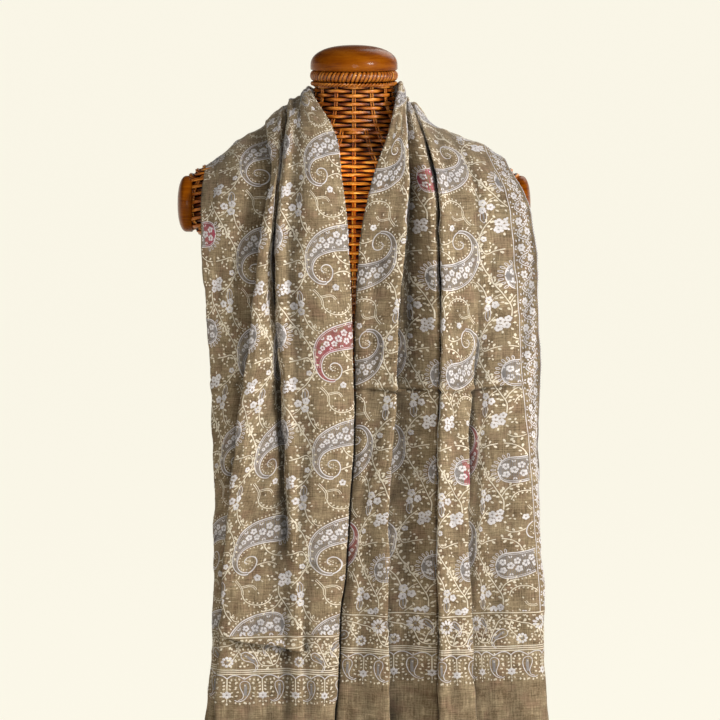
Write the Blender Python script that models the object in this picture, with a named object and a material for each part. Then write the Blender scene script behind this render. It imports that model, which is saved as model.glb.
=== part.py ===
"""A pashmina shawl, folded lengthwise and hung round the neck of a limbless wicker dress form.

Metres, +Z up. The origin is the centre of the underside of the stand's base, and the wearer's
front faces -Y, so the shawl's "left" fall is the one at -X. Tables of sizes are in millimetres.

The cloth is one sheet with a lengthwise fold. Fold lines run along it from one end to the other:
up the left fall, over the shoulder, round the back of the neck and down the right fall. Each row
of the OUTER and UNDER tables is one of these lines, and the surface is a smooth curve across them.
"""

import bpy
import numpy as np

MM = 0.001

# The shawl
WALL = 1.2 * MM                # cloth with its embroidery
SEAM_GAP = 0.3 * MM            # between the stretches, and between cloth and fringe
FRINGE_LENGTH = 50 * MM
FRINGE_WALL = 1.6 * MM
END_HEIGHT = {"left": 215 * MM, "right": 238 * MM}      # lower end of the cloth

# Where each fold line's distance from the middle is given, as shares of its height from the
# cloth's end to the top of the shoulder
HEIGHTS = (0.0, 0.12, 0.25, 0.40, 0.55, 0.68, 0.80, 0.88, 0.94, 1.0)
MID_SHARE = 0.42               # height at which "mid" forward places hold
CHEST_SHARE = 0.80             # above this height the cloth curves back over the shoulder
SHOULDER_POWER = 1.95          # 2 would be an ellipse, 1 a straight slope

# line, forward of the middle plane at (end, mid, chest), height on the shoulder,
# distance out from the middle at each of HEIGHTS
OUTER_LEFT = (
    ("fold", (122, 121, 119), 1041, (22, 21, 17, 7, 1, 3, 7, 14, 22, 53)),
    ("lapel", (131, 130, 127), 1044, (29, 28, 24, 14, 8, 10, 14, 20, 27, 56)),
    ("crest_1", (134, 134, 131), 1042, (40, 39, 38, 35, 34, 37, 42, 44, 48, 60)),
    ("valley_1", (131, 130, 124), 1034, (54, 53, 55, 58, 62, 66, 70, 68, 68, 65)),
    ("crest_2", (132, 133, 129), 1032, (62, 62, 63, 67, 72, 77, 81, 77, 73, 72)),
    ("valley_2", (118, 110, 106), 1020, (75, 75, 77, 79, 84, 89, 91, 87, 80, 78)),
    ("rise_3", (125, 123, 117), 1018, (97, 98, 101, 103, 102, 98, 95, 90, 83, 84)),
    ("crest_3", (130, 133, 128), 1015, (122, 126, 128, 128, 120, 108, 99, 93, 87, 91)),
    ("slope_3", (130, 133, 129), 1010, (144, 145, 143, 139, 128, 115, 105, 98, 91, 97)),
    ("edge_3", (126, 128, 124), 1003, (163, 161, 156, 148, 135, 121, 109, 102, 95, 102)),
    ("tuck_3", (114, 112, 108), 994, (151, 149, 144, 136, 123, 109, 98, 92, 91, 104)),
    ("plane_in", (108, 107, 103), 987, (159, 157, 152, 145, 135, 126, 119, 115, 113, 120)),
    ("plane", (104, 103, 99), 980, (167, 165, 159, 154, 148, 144, 141, 139, 137, 137)),
    ("plane_out", (98, 98, 94), 968, (172, 170, 163, 159, 156, 156, 158, 159, 159, 157)),
    ("turn", (91, 91, 87), 955, (174, 171, 162, 160, 161, 165, 171, 175, 177, 174)),
    ("selvage", (97, 96, 93), 962, (132, 130, 124, 122, 122, 128, 138, 148, 154, 154)),
)
OUTER_RIGHT = (
    ("fold", (115, 114, 114), 1045, (-20, -19, -13, -5, 1, 2, 9, 24, 41, 53)),
    ("lapel", (122, 121, 121), 1047, (-12, -11, -5, 3, 9, 10, 17, 31, 46, 55)),
    ("crest_1", (127, 127, 127), 1041, (12, 12, 15, 18, 26, 29, 36, 46, 53, 58)),
    ("edge_1", (127, 128, 126), 1034, (38, 38, 38, 37, 45, 50, 58, 62, 61, 60)),
    ("tuck_1", (115, 111, 109), 1030, (34, 33, 32, 30, 36, 41, 49, 55, 56, 56)),
    ("valley_1", (112, 108, 105), 1026, (58, 58, 59, 60, 64, 67, 68, 66, 58, 57)),
    ("crest_2", (120, 122, 119), 1026, (78, 78, 78, 77, 79, 80, 81, 77, 68, 62)),
    ("valley_2", (106, 102, 99), 1019, (95, 94, 93, 90, 93, 94, 94, 90, 79, 62)),
    ("tuck_3", (106, 101, 98), 1013, (106, 105, 104, 101, 104, 105, 105, 101, 89, 67)),
    ("crest_3", (126, 128, 122), 1017, (100, 99, 98, 96, 99, 100, 100, 98, 88, 72)),
    ("plateau", (124, 126, 118), 1000, (124, 122, 118, 116, 117, 118, 118, 116, 108, 91)),
    ("edge_4", (122, 123, 112), 988, (143, 141, 137, 132, 133, 137, 139, 137, 131, 111)),
    ("tuck_4", (111, 112, 109), 986, (129, 127, 125, 124, 131, 142, 147, 144, 137, 117)),
    ("flank", (108, 109, 101), 980, (166, 163, 158, 155, 157, 161, 163, 160, 152, 131)),
    ("border", (99, 100, 85), 971, (221, 219, 216, 211, 201, 193, 187, 182, 175, 153)),
    ("selvage", (80, 79, 64), 957, (232, 226, 220, 216, 215, 216, 214, 209, 201, 177)),
)
UNDER_LEFT = (
    ("under_1", (112, 111, 110), 1030, (38, 37, 33, 24, 18, 20, 23, 28, 35, 52)),
    ("under_2", (109, 108, 107), 1013, (58, 57, 55, 50, 46, 46, 47, 48, 51, 59)),
    ("under_3", (100, 98, 97), 996, (82, 81, 79, 77, 75, 75, 74, 74, 73, 77)),
    ("under_4", (96, 95, 94), 985, (108, 107, 104, 102, 101, 101, 100, 100, 99, 99)),
    ("under_5", (86, 86, 86), 975, (130, 129, 127, 124, 124, 125, 126, 126, 126, 125)),
    ("under_6", (75, 75, 77), 969, (148, 147, 145, 142, 142, 143, 144, 143, 142, 141)),
)
UNDER_RIGHT = (
    ("under_1", (107, 106, 106), 1030, (-2, -1, 4, 11, 16, 17, 23, 35, 46, 52)),
    ("under_2", (101, 100, 100), 1014, (34, 35, 38, 42, 45, 47, 51, 55, 56, 58)),
    ("under_3", (96, 95, 94), 996, (84, 84, 84, 84, 86, 87, 88, 88, 85, 80)),
    ("under_4", (96, 95, 88), 981, (122, 120, 118, 117, 118, 119, 119, 117, 113, 104)),
    ("under_5", (90, 90, 80), 973, (165, 162, 158, 155, 155, 157, 157, 153, 146, 126)),
    ("under_6", (77, 76, 66), 967, (200, 196, 192, 189, 187, 187, 185, 180, 171, 145)),
)
# The same lines where they cross the middle of the back: (height, distance back)
OUTER_BACK = (
    (1010, 67), (1008, 74), (1000, 83), (990, 84), (982, 92), (969, 89), (963, 95), (957, 100),
    (950, 103), (944, 105), (936, 99), (927, 103), (919, 108), (909, 111), (900, 112), (880, 110),
)
UNDER_BACK = ((998, 66), (976, 75), (951, 85), (922, 94), (888, 102), (846, 106))
BACK_POWER = 2.5               # more keeps a line longer at the shoulder's height
LINE_STEPS = 2                 # surface points for each space between two lines
HANG_ROWS = 10
SHOULDER_ROWS = 6
NECK_ROWS = 15

# The dress form: height, half breadth, depth forward, depth back
FORM_SECTIONS = (
    (222, 150, 90, 98), (226, 154, 93, 101), (250, 159, 95, 104), (300, 163, 98, 108),
    (360, 162, 99, 110), (440, 152, 96, 102), (520, 134, 88, 87), (580, 125, 83, 76),
    (620, 123, 82, 73), (660, 127, 85, 75), (740, 141, 95, 84), (800, 149, 96, 92),
    (830, 153, 91, 94), (850, 161, 85, 92), (862, 174, 80, 89), (874, 190, 75, 86),
    (886, 201, 71, 82), (902, 206, 65, 77), (918, 205, 60, 72), (930, 200, 56, 68),
    (938, 194, 54, 66), (946, 183, 53, 64), (953, 167, 52, 62), (960, 145, 51, 60),
    (968, 119, 50, 59), (977, 97, 49, 58), (987, 80, 49, 56), (998, 67, 48, 54),
    (1010, 56, 48, 52), (1022, 50, 48, 50), (1034, 48, 48, 48), (1048, 48, 48, 48),
)
FORM_SIDES = 36
FORM_ROUNDNESS = 2.2           # exponent of each section
ARM_FACE = 195 * MM            # flat end of each arm stub
ARM_CAP_RADIUS = 33 * MM
ARM_CAP_DEPTH = 12 * MM
ARM_CAP_HEIGHT = 904 * MM
NECK_TOP = 1048 * MM
RING_RADIUS = 51.5 * MM
RING_HEIGHT = 12.5 * MM
CAP_RADIUS = 51 * MM
OBJECT_HEIGHT = 1090 * MM
FORM_BOTTOM = 222 * MM
BOARD_THICKNESS = 15 * MM
BOARD_OVERHANG = 4 * MM
POST_RADIUS = 15 * MM
BASE_RADIUS = 150 * MM
BASE_THICKNESS = 24 * MM
ROUND_SIDES = 40

# name: colour, roughness
MATERIALS = {
    "pashmina": ((0.36, 0.29, 0.21), 0.85),
    "fringe_yarn": ((0.42, 0.34, 0.25), 0.9),
    "woven_cane": ((0.42, 0.17, 0.05), 0.35),
    "varnished_wood": ((0.36, 0.14, 0.03), 0.3),
}


def clear_scene():
    for thing in list(bpy.data.objects):
        bpy.data.objects.remove(thing)


def material(name):
    found = bpy.data.materials.get(name)
    if found:
        return found
    colour, roughness = MATERIALS[name]
    made = bpy.data.materials.new(name)
    made.use_nodes = True
    shader = made.node_tree.nodes["Principled BSDF"]
    shader.inputs["Base Color"].default_value = (*colour, 1)
    shader.inputs["Roughness"].default_value = roughness
    shader.inputs["Metallic"].default_value = 0
    return made


def add_object(name, mesh, finish):
    made = bpy.data.objects.new(name, mesh)
    mesh.materials.append(material(finish))
    bpy.context.scene.collection.objects.link(made)
    mesh.shade_smooth()
    return made


def mesh_of(name, points, faces):
    mesh = bpy.data.meshes.new(name)
    mesh.from_pydata([tuple(p) for p in points], [], faces)
    mesh.validate()
    return mesh


# ---------------------------------------------------------------- the cloth

def smooth_through(knots, values, wanted):
    """A cubic through values at knots, with the slopes of its neighbours (Catmull-Rom)."""
    knots = np.asarray(knots, float)
    values = np.asarray(values, float)
    slopes = np.gradient(values, knots, axis=0)
    cell = np.clip(np.searchsorted(knots, wanted, side="right") - 1, 0, len(knots) - 2)
    width = knots[cell + 1] - knots[cell]
    u = (np.asarray(wanted) - knots[cell]) / width
    if values.ndim > 1:
        shape = (-1,) + (1,) * (values.ndim - 1)
        u = u.reshape(shape)
        width = width.reshape(shape)
    return (
        (2 * u**3 - 3 * u**2 + 1) * values[cell]
        + (u**3 - 2 * u**2 + u) * width * slopes[cell]
        + (3 * u**2 - 2 * u**3) * values[cell + 1]
        + (u**3 - u**2) * width * slopes[cell + 1]
    )


def fall_line(row, side, shares):
    """Points of one fold line of a fall, at these shares of its height."""
    _, forward, top, outward = row
    shares = np.asarray(shares)
    out = smooth_through(HEIGHTS, outward, shares) * MM
    hang = smooth_through((0, MID_SHARE, CHEST_SHARE), forward, np.minimum(shares, CHEST_SHARE))
    over = np.clip((shares - CHEST_SHARE) / (1 - CHEST_SHARE), 0, 1)
    hang = hang * MM * (1 - over**SHOULDER_POWER) ** (1 / SHOULDER_POWER)
    end = END_HEIGHT[side]
    sign = -1 if side == "left" else 1
    return np.stack([sign * out, -hang, end + shares * (top * MM - end)], axis=1)


def fall_shares():
    """Rows of a fall: even down the hanging part, and even in angle over the shoulder."""
    hanging = np.linspace(0, CHEST_SHARE, HANG_ROWS)
    angles = np.linspace(0, np.pi / 2, SHOULDER_ROWS + 1)[1:]
    shoulder = CHEST_SHARE + (1 - CHEST_SHARE) * np.sin(angles) ** (2 / SHOULDER_POWER)
    return np.concatenate([hanging, shoulder])


def back_line(left_top, right_top, middle):
    """Points of one fold line from the left shoulder round the back to the right one."""
    height, back = middle[0] * MM, middle[1] * MM
    points = []
    for angle in np.linspace(0, np.pi, NECK_ROWS):
        top = left_top if angle < np.pi / 2 else right_top
        round_back = np.sin(angle)
        rise = 1 - round_back**BACK_POWER
        across = top[0] * abs(np.cos(angle))
        points.append((across, back * round_back, height + (top[2] - height) * rise))
    return np.array(points)


def across_lines(lines, steps):
    """Adds points between neighbouring fold lines, on a smooth curve across them all."""
    lines = np.asarray(lines)
    knots = np.arange(len(lines), dtype=float)
    wanted = np.linspace(0, len(lines) - 1, (len(lines) - 1) * steps + 1)
    return smooth_through(knots, lines, wanted)


def sheet_lines(outer, under):
    """All lines of the folded cloth, from the outer layer's selvage round the fold to the other."""
    return across_lines(list(outer[::-1]) + list(under), LINE_STEPS)


def cloth_wall(name, lines, thickness, finish):
    """A wall of this thickness on a grid of points: lines across, rows along each."""
    columns, rows = lines.shape[:2]
    points = lines.reshape(-1, 3)
    faces = [
        (c * rows + r, c * rows + r + 1, (c + 1) * rows + r + 1, (c + 1) * rows + r)
        for c in range(columns - 1)
        for r in range(rows - 1)
    ]
    made = add_object(name, mesh_of(name, points, faces), finish)
    wall = made.modifiers.new("Cloth wall", "SOLIDIFY")
    wall.thickness = thickness
    wall.offset = 0
    wall.use_even_offset = False
    return made


def shortened(lines, at_start, at_end):
    """The grid with its first and last rows moved in along the lines, to leave the seam's gap."""
    lines = lines.copy()
    for row, inner, gap in ((0, 1, at_start), (-1, -2, at_end)):
        step = lines[:, inner] - lines[:, row]
        length = np.linalg.norm(step, axis=1, keepdims=True)
        lines[:, row] += step / length * gap
    return lines


def fringe(name, lines):
    """The fringe's reach: a thin wall that goes on straight down from the cloth's end."""
    top = lines[:, 0].copy()
    top[:, 2] -= SEAM_GAP
    bottom = top.copy()
    bottom[:, 2] -= FRINGE_LENGTH
    cloth_wall(name, np.stack([bottom, top], axis=1), FRINGE_WALL, "fringe_yarn")


def shawl():
    shares = fall_shares()
    tops = {}
    for side, outer, under in (
        ("left", OUTER_LEFT, UNDER_LEFT),
        ("right", OUTER_RIGHT, UNDER_RIGHT),
    ):
        outer_lines = [fall_line(row, side, shares) for row in outer]
        under_lines = [fall_line(row, side, shares) for row in under]
        tops[side] = [line[-1] for line in outer_lines], [line[-1] for line in under_lines]
        lines = sheet_lines(outer_lines, under_lines)
        cloth_wall(f"shawl_{side}_fall", shortened(lines, 0, SEAM_GAP), WALL, "pashmina")
        fringe(f"fringe_{side}", lines)
    layers = []
    for layer, middles in ((0, OUTER_BACK), (1, UNDER_BACK)):
        ends = zip(tops["left"][layer], tops["right"][layer], middles)
        layers.append([back_line(*line) for line in ends])
    lines = sheet_lines(*layers)
    cloth_wall("shawl_neck", shortened(lines, SEAM_GAP, SEAM_GAP), WALL, "pashmina")


# ---------------------------------------------------------------- the dress form

def form_ring(section):
    """Points of one level of the form: a rounded oval, cut flat at the arm stubs."""
    height, breadth, forward, back = (value * MM for value in section)
    ring = []
    for step in range(FORM_SIDES):
        angle = 2 * np.pi * step / FORM_SIDES
        c, s = np.cos(angle), np.sin(angle)
        power = 2 / FORM_ROUNDNESS
        x = breadth * np.sign(c) * abs(c) ** power
        y = (back if s > 0 else forward) * np.sign(s) * abs(s) ** power
        ring.append((float(np.clip(x, -ARM_FACE, ARM_FACE)), y, height))
    return ring


def loft(name, rings, finish):
    """A closed solid through rings of equally many points, with a flat face at each end."""
    sides = len(rings[0])
    points = [point for ring in rings for point in ring]
    faces = [tuple(range(sides))[::-1], tuple(range(len(points) - sides, len(points)))]
    for level in range(len(rings) - 1):
        for side in range(sides):
            a = level * sides + side
            b = level * sides + (side + 1) % sides
            faces.append((a, b, b + sides, a + sides))
    return add_object(name, mesh_of(name, points, faces), finish)


def turned(name, profile, finish, sides=ROUND_SIDES):
    """A solid turned about Z from (radius, height) pairs, bottom to top."""
    angles = [2 * np.pi * step / sides for step in range(sides)]
    rings = [[(r * np.cos(a), r * np.sin(a), z) for a in angles] for r, z in profile]
    return loft(name, rings, finish)


def dome(radius, low, high, edge, steps=5):
    """Profile of a low dome on a short upright edge: quarter ellipse, nearly to the centre."""
    profile = [(radius, low)]
    for step in range(steps + 1):
        angle = np.pi / 2 * step / (steps + 0.35)
        profile.append((radius * np.cos(angle), low + edge + (high - low - edge) * np.sin(angle)))
    return profile


def arm_cap(name, sign):
    """A turned wooden cap on the flat end of an arm stub, with its dome outward."""
    made = turned(name, dome(ARM_CAP_RADIUS, 0, ARM_CAP_DEPTH, 3 * MM), "varnished_wood", 32)
    made.rotation_euler = (0, sign * np.pi / 2, 0)
    made.location = (sign * (ARM_FACE + SEAM_GAP), 0, ARM_CAP_HEIGHT)


def dress_form():
    loft("form_torso", [form_ring(section) for section in FORM_SECTIONS], "woven_cane")
    ring_low = NECK_TOP + SEAM_GAP
    ring_top = ring_low + RING_HEIGHT
    ring_bulge = [
        (RING_RADIUS - 2.2 * MM * (1 - np.sin(a)), ring_low + RING_HEIGHT * (1 - np.cos(a)) / 2)
        for a in np.linspace(0, np.pi, 7)
    ]
    turned("form_neck_ring", ring_bulge, "woven_cane")
    cap_low = ring_top + SEAM_GAP
    turned("form_neck_cap", dome(CAP_RADIUS, cap_low, OBJECT_HEIGHT, 5 * MM, 6), "varnished_wood")
    arm_cap("form_arm_cap_left", -1)
    arm_cap("form_arm_cap_right", 1)


def stand():
    board_top = FORM_BOTTOM - SEAM_GAP
    board_low = board_top - BOARD_THICKNESS
    _, breadth, forward, back = FORM_SECTIONS[0]
    overhang = BOARD_OVERHANG / MM
    levels = ((board_low, 0), (board_low + 3 * MM, overhang), (board_top - 3 * MM, overhang), (board_top, 0))
    board = [
        form_ring((height / MM, breadth + more, forward + more, back + more))
        for height, more in levels
    ]
    loft("form_base_board", board, "varnished_wood")
    base_top = BASE_THICKNESS
    edge = 5 * MM
    base = (
        (BASE_RADIUS - 2 * MM, 0),
        (BASE_RADIUS, 2 * MM),
        (BASE_RADIUS, base_top - 2 * edge),
        (BASE_RADIUS - edge, base_top - edge),
        (BASE_RADIUS - 3 * edge, base_top - 0.4 * edge),
        (BASE_RADIUS - 8 * edge, base_top),
    )
    turned("stand_base", base, "varnished_wood")
    low = base_top + SEAM_GAP
    high = board_low - SEAM_GAP
    # radius and share of the post's height: foot, cove, shaft and collar
    turning = (
        (2.4, 0), (2.4, 0.04), (2.1, 0.08), (1.3, 0.14), (1.05, 0.22), (1.0, 0.5),
        (1.05, 0.78), (1.3, 0.86), (1.9, 0.9), (1.9, 0.95), (1.7, 1.0),
    )
    post = [(POST_RADIUS * wide, low + share * (high - low)) for wide, share in turning]
    turned("stand_post", post, "varnished_wood", 32)


clear_scene()
dress_form()
stand()
shawl()
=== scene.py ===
"""Scene for a pashmina shawl hung round the neck of a wicker dress form.

Metres, +Z up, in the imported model's frame; the tables are in millimetres. The cloth is one sheet.
A flat place (w, s) on it is the distance out from its lengthwise fold and the distance along it
from the left end, and the embroidery is drawn in that flat place.
"""

import math

import bpy
import numpy as np
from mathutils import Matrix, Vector


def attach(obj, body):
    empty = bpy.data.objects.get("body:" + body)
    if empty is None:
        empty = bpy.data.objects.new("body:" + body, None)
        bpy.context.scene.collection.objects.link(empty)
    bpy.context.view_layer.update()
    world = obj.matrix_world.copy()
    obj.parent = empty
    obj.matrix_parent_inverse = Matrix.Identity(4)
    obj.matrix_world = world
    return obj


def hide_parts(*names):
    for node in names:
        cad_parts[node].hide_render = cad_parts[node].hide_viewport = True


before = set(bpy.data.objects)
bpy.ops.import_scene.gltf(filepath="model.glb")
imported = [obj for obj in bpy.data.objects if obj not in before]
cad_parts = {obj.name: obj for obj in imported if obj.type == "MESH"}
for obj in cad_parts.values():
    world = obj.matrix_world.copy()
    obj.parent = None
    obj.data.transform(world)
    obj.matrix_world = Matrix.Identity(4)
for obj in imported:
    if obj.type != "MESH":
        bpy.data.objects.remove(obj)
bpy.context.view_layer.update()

MM = 0.001

# ---------------------------------------------------------------- sizes of the cloth

WALL = 0.9 * MM
CLOTH_LENGTH = 1.929           # between its two ends
END_HEIGHT = {"left": 215 * MM, "right": 238 * MM}      # lower end of each fall
NECK_FROM, NECK_TO = 0.80, 1.13          # flat places where the neck's stretch starts and ends

COLUMN_WIDTH = 4.0 * MM
COLUMN_STEPS = (4, 8)          # fewest and most mesh columns between two fold lines
ROWS = 357
ROW_CROWDING = 2.6             # how much closer the rows lie across a crease
HANG_STEPS = 200               # points along a fold line on a fall, over a shoulder, round the neck
SHOULDER_STEPS = 70
NECK_STEPS = 140
ROW_KEY = 10.0                 # more than any w: keeps rows apart in one sorted list of places
NORMAL_SIGN = -1               # turns the grid's normals to the good side

# small unevenness: number of waves, their lengths across and along the cloth, height in mm
CLOTH_SEED = 7
RIPPLES = (
    (9, (0.05, 0.16), (0.06, 0.22), 1.1),        # soft dents
    (7, (0.018, 0.04), (0.16, 0.5), 0.55),       # drag folds
    (10, (0.012, 0.03), (0.012, 0.03), 0.16),    # fine
    (6, (0.10, 0.3), (0.025, 0.05), 0.35),       # across the falls
)
# flat place of each storage crease, and its depth in mm
STORAGE_CREASES = ((0.492, 0.9), (1.4685, 3.0))
CREASE_WANDER = 1.5 * MM       # how far a storage crease wanders from a straight line
CREASE_WIDTH = 2.2 * MM
CREASE_LIP = 2.4               # the raised lip beside it, in widths of the crease
# buckled places: flat place of one end, of the other, and how far the cloth bulges in mm
BUCKLES = ((0.060, 0.180, 0.152, 0.200, 13.0),)
BUCKLE_RISE = 1.2              # mm from the buckle's line to its height
BUCKLE_ABOVE, BUCKLE_BELOW = 13, 9       # mm over which it dies away

# Painted shade on the cloth in its hollows and painted light on its ridges (hollow in mm, light),
# and a painted shadow along the seam where the left fall's edge lies over the right fall: the box
# the edge lies in, the dark line and its soft side
HOLLOW_REACHES = (5 * MM, 14 * MM)       # widths over which hollows are judged
HOLLOW_RANGE = (-1.0, 4.5)
HOLLOW_LIGHT = (1.08, 0.20)
SEAM_Z = (0.20, 0.82)
SEAM_X = (-0.06, 0.04)
SEAM_STEPS = 24
SEAM_WIDTH = (0.0017, 0.0032)
SEAM_LIGHT = 0.03
SEAM_SOFT, SEAM_SOFT_LIGHT = 0.014, 0.7
CREASE_SHADE = 0.65            # painted shade along a storage crease, for each mm of its depth
CREASE_LINE = 1.9 * MM         # and how wide
PAINTED_SHADE_FROM = ((11, 0.45), (14, 0.7))      # painted shade: a fold line of the right fall, and how much shade is painted past it

# Where each fold line's distance from the middle is given, as shares of its height from the
# cloth's end to the top of the shoulder
HEIGHTS = (0.0, 0.12, 0.25, 0.40, 0.55, 0.68, 0.80, 0.88, 0.94, 1.0)
MID_SHARE = 0.42               # height at which "mid" forward places hold
CHEST_SHARE = 0.80             # above this height the cloth curves back over the shoulder
SHOULDER_POWER = 1.95          # 2 would be an ellipse, 1 a straight slope

# line, forward of the middle plane at (end, mid, chest), height on the shoulder,
# distance out from the middle at each of HEIGHTS
OUTER_LEFT = (
    ("fold", (122, 121, 119), 1041, (22, 21, 17, 7, 1, 3, 7, 14, 22, 53)),
    ("lapel", (131, 130, 127), 1040, (29, 28, 24, 14, 8, 10, 14, 20, 27, 56)),
    ("crest_1", (134, 134, 131), 1036, (40, 39, 38, 35, 34, 37, 42, 44, 48, 60)),
    ("valley_1", (131, 130, 124), 1028, (54, 53, 55, 58, 62, 66, 70, 68, 68, 65)),
    ("crest_2", (132, 133, 129), 1026, (65, 65, 66, 71, 77, 83, 87, 83, 77, 74)),
    ("valley_2", (129, 124, 101), 1021, (77, 78, 79, 79, 84, 89, 91, 87, 80, 78)),
    ("rise_3", (130, 127, 115), 1017, (91, 92, 95, 97, 96, 94, 96, 91, 84, 84)),
    ("crest_3", (130, 133, 128), 1011, (122, 126, 128, 128, 120, 108, 99, 93, 87, 91)),
    ("slope_3", (130, 133, 129), 1006, (144, 145, 143, 139, 128, 115, 105, 98, 91, 97)),
    ("edge_3", (126, 128, 124), 1001, (163, 161, 156, 148, 135, 121, 109, 102, 95, 102)),
    ("tuck_3", (114, 112, 108), 997, (151, 149, 144, 136, 123, 109, 98, 92, 91, 104)),
    ("plane_in", (108, 107, 103), 987, (159, 157, 152, 145, 135, 126, 119, 115, 113, 120)),
    ("plane", (104, 103, 99), 978, (167, 165, 159, 154, 148, 144, 141, 139, 137, 137)),
    ("plane_out", (98, 98, 94), 960, (172, 170, 163, 159, 156, 156, 158, 159, 159, 157)),
    ("turn", (91, 91, 87), 948, (174, 171, 162, 160, 161, 165, 171, 175, 177, 174)),
    ("selvage", (97, 96, 93), 962, (132, 130, 124, 122, 122, 128, 138, 148, 154, 154)),
)
OUTER_RIGHT = (
    ("fold", (111, 111, 113), 1045, (-22, -21, -15, -6, 0, 2, 9, 24, 41, 53)),
    ("lapel", (118, 117, 118), 1047, (-12, -11, -5, 3, 9, 10, 17, 31, 46, 55)),
    ("crest_1", (122, 122, 123), 1041, (12, 12, 15, 18, 26, 29, 36, 46, 53, 58)),
    ("edge_1", (131, 132, 130), 1034, (40, 40, 40, 40, 47, 51, 58, 62, 61, 60)),
    ("tuck_1", (115, 110, 105), 1030, (34, 33, 32, 30, 36, 41, 49, 55, 56, 56)),
    ("valley_1", (109, 104, 101), 1026, (58, 58, 59, 60, 62, 63, 64, 64, 58, 57)),
    ("crest_2", (116, 117, 124), 1028, (95, 95, 94, 92, 95, 95, 91, 86, 75, 63)),
    ("valley_2", (103, 99, 97), 1023, (100, 99, 98, 96, 98, 99, 99, 95, 83, 66)),
    ("tuck_3", (103, 99, 97), 1020, (106, 105, 104, 101, 104, 105, 105, 101, 89, 67)),
    ("crest_3", (131, 133, 127), 1021, (100, 99, 98, 96, 99, 100, 100, 98, 88, 72)),
    ("plateau", (128, 130, 122), 1000, (124, 122, 118, 116, 117, 118, 118, 116, 108, 91)),
    ("edge_4", (124, 125, 114), 988, (143, 141, 137, 132, 133, 137, 139, 137, 131, 111)),
    ("tuck_4", (111, 112, 109), 986, (129, 127, 125, 124, 131, 142, 147, 144, 137, 117)),
    ("flank", (108, 109, 101), 980, (166, 163, 158, 155, 157, 161, 163, 160, 152, 131)),
    ("border", (99, 100, 85), 971, (221, 219, 216, 211, 201, 193, 187, 182, 175, 153)),
    ("selvage", (80, 79, 64), 957, (232, 226, 220, 216, 215, 216, 214, 209, 201, 177)),
)
UNDER_LEFT = (
    ("under_1", (112, 111, 110), 1030, (38, 37, 33, 24, 18, 20, 23, 28, 35, 52)),
    ("under_2", (109, 108, 107), 1013, (58, 57, 55, 50, 46, 46, 47, 48, 51, 59)),
    ("under_3", (100, 98, 97), 996, (82, 81, 79, 77, 75, 75, 74, 74, 73, 77)),
    ("under_4", (96, 95, 94), 985, (108, 107, 104, 102, 101, 101, 100, 100, 99, 99)),
    ("under_5", (86, 86, 86), 975, (130, 129, 127, 124, 124, 125, 126, 126, 126, 125)),
    ("under_6", (75, 75, 77), 969, (148, 147, 145, 142, 142, 143, 144, 143, 142, 141)),
)
UNDER_RIGHT = (
    ("under_1", (107, 106, 106), 1030, (-2, -1, 4, 11, 16, 17, 23, 35, 46, 52)),
    ("under_2", (101, 100, 100), 1014, (34, 35, 38, 42, 45, 47, 51, 55, 56, 58)),
    ("under_3", (96, 95, 94), 996, (84, 84, 84, 84, 86, 87, 88, 88, 85, 80)),
    ("under_4", (96, 95, 88), 981, (122, 120, 118, 117, 118, 119, 119, 117, 113, 104)),
    ("under_5", (90, 90, 80), 973, (165, 162, 158, 155, 155, 157, 157, 153, 146, 126)),
    ("under_6", (77, 76, 66), 967, (200, 196, 192, 189, 187, 187, 185, 180, 171, 145)),
)
# The same lines where they cross the middle of the back: (height, distance back)
OUTER_BACK = (
    (1010, 67), (1008, 74), (1000, 83), (990, 84), (982, 92), (969, 89), (963, 95), (957, 100),
    (950, 103), (944, 105), (936, 99), (927, 103), (919, 108), (909, 111), (900, 112), (880, 110),
)
UNDER_BACK = ((998, 66), (976, 75), (951, 85), (922, 94), (888, 102), (846, 106))
BACK_POWER = 2.5               # more keeps a line longer at the shoulder's height
# Flat place of each fold line of the outer layer in mm, at these distances from the cloth's end,
# lowest first: folds don't run quite straight along the cloth, and the deep ones hide some of it
FLAT_HEIGHTS = {"left": (0.28, 0.40, 0.51, 0.62), "right": (0.25, 0.375, 0.49, 0.635)}
FLAT_LEFT = (
    (19, 6, 6, 0), (26, 17, 18, 12), (40, 40, 44, 39), (57, 66, 72, 69), (68, 79, 85, 85),
    (79, 100, 124, 118), (94, 119, 142, 143), (123, 148, 162, 156), (138, 160, 172, 163),
    (150, 169, 181, 170), (174, 190, 202, 190), (184, 202, 218, 207), (192, 216, 236, 232),
    (200, 228, 250, 252), (213, 242, 265, 274), (251, 280, 303, 308),
)
FLAT_RIGHT = (
    (40, 28, 18, 5), (51, 39, 29, 16), (72, 58, 48, 36), (98, 76, 70, 60), (128, 112, 110, 108),
    (150, 141, 142, 156), (178, 172, 172, 176), (187, 183, 183, 192), (200, 200, 208, 215),
    (224, 232, 246, 265), (246, 254, 270, 287), (263, 266, 303, 308), (285, 284, 309, 316),
    (330, 330, 330, 330), (381, 368, 356, 344), (411, 398, 386, 374),
)
NECK_FLAT = 0.75               # at the middle of the neck these places draw in to this share

# ---------------------------------------------------------------- sizes of the dress form

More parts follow.
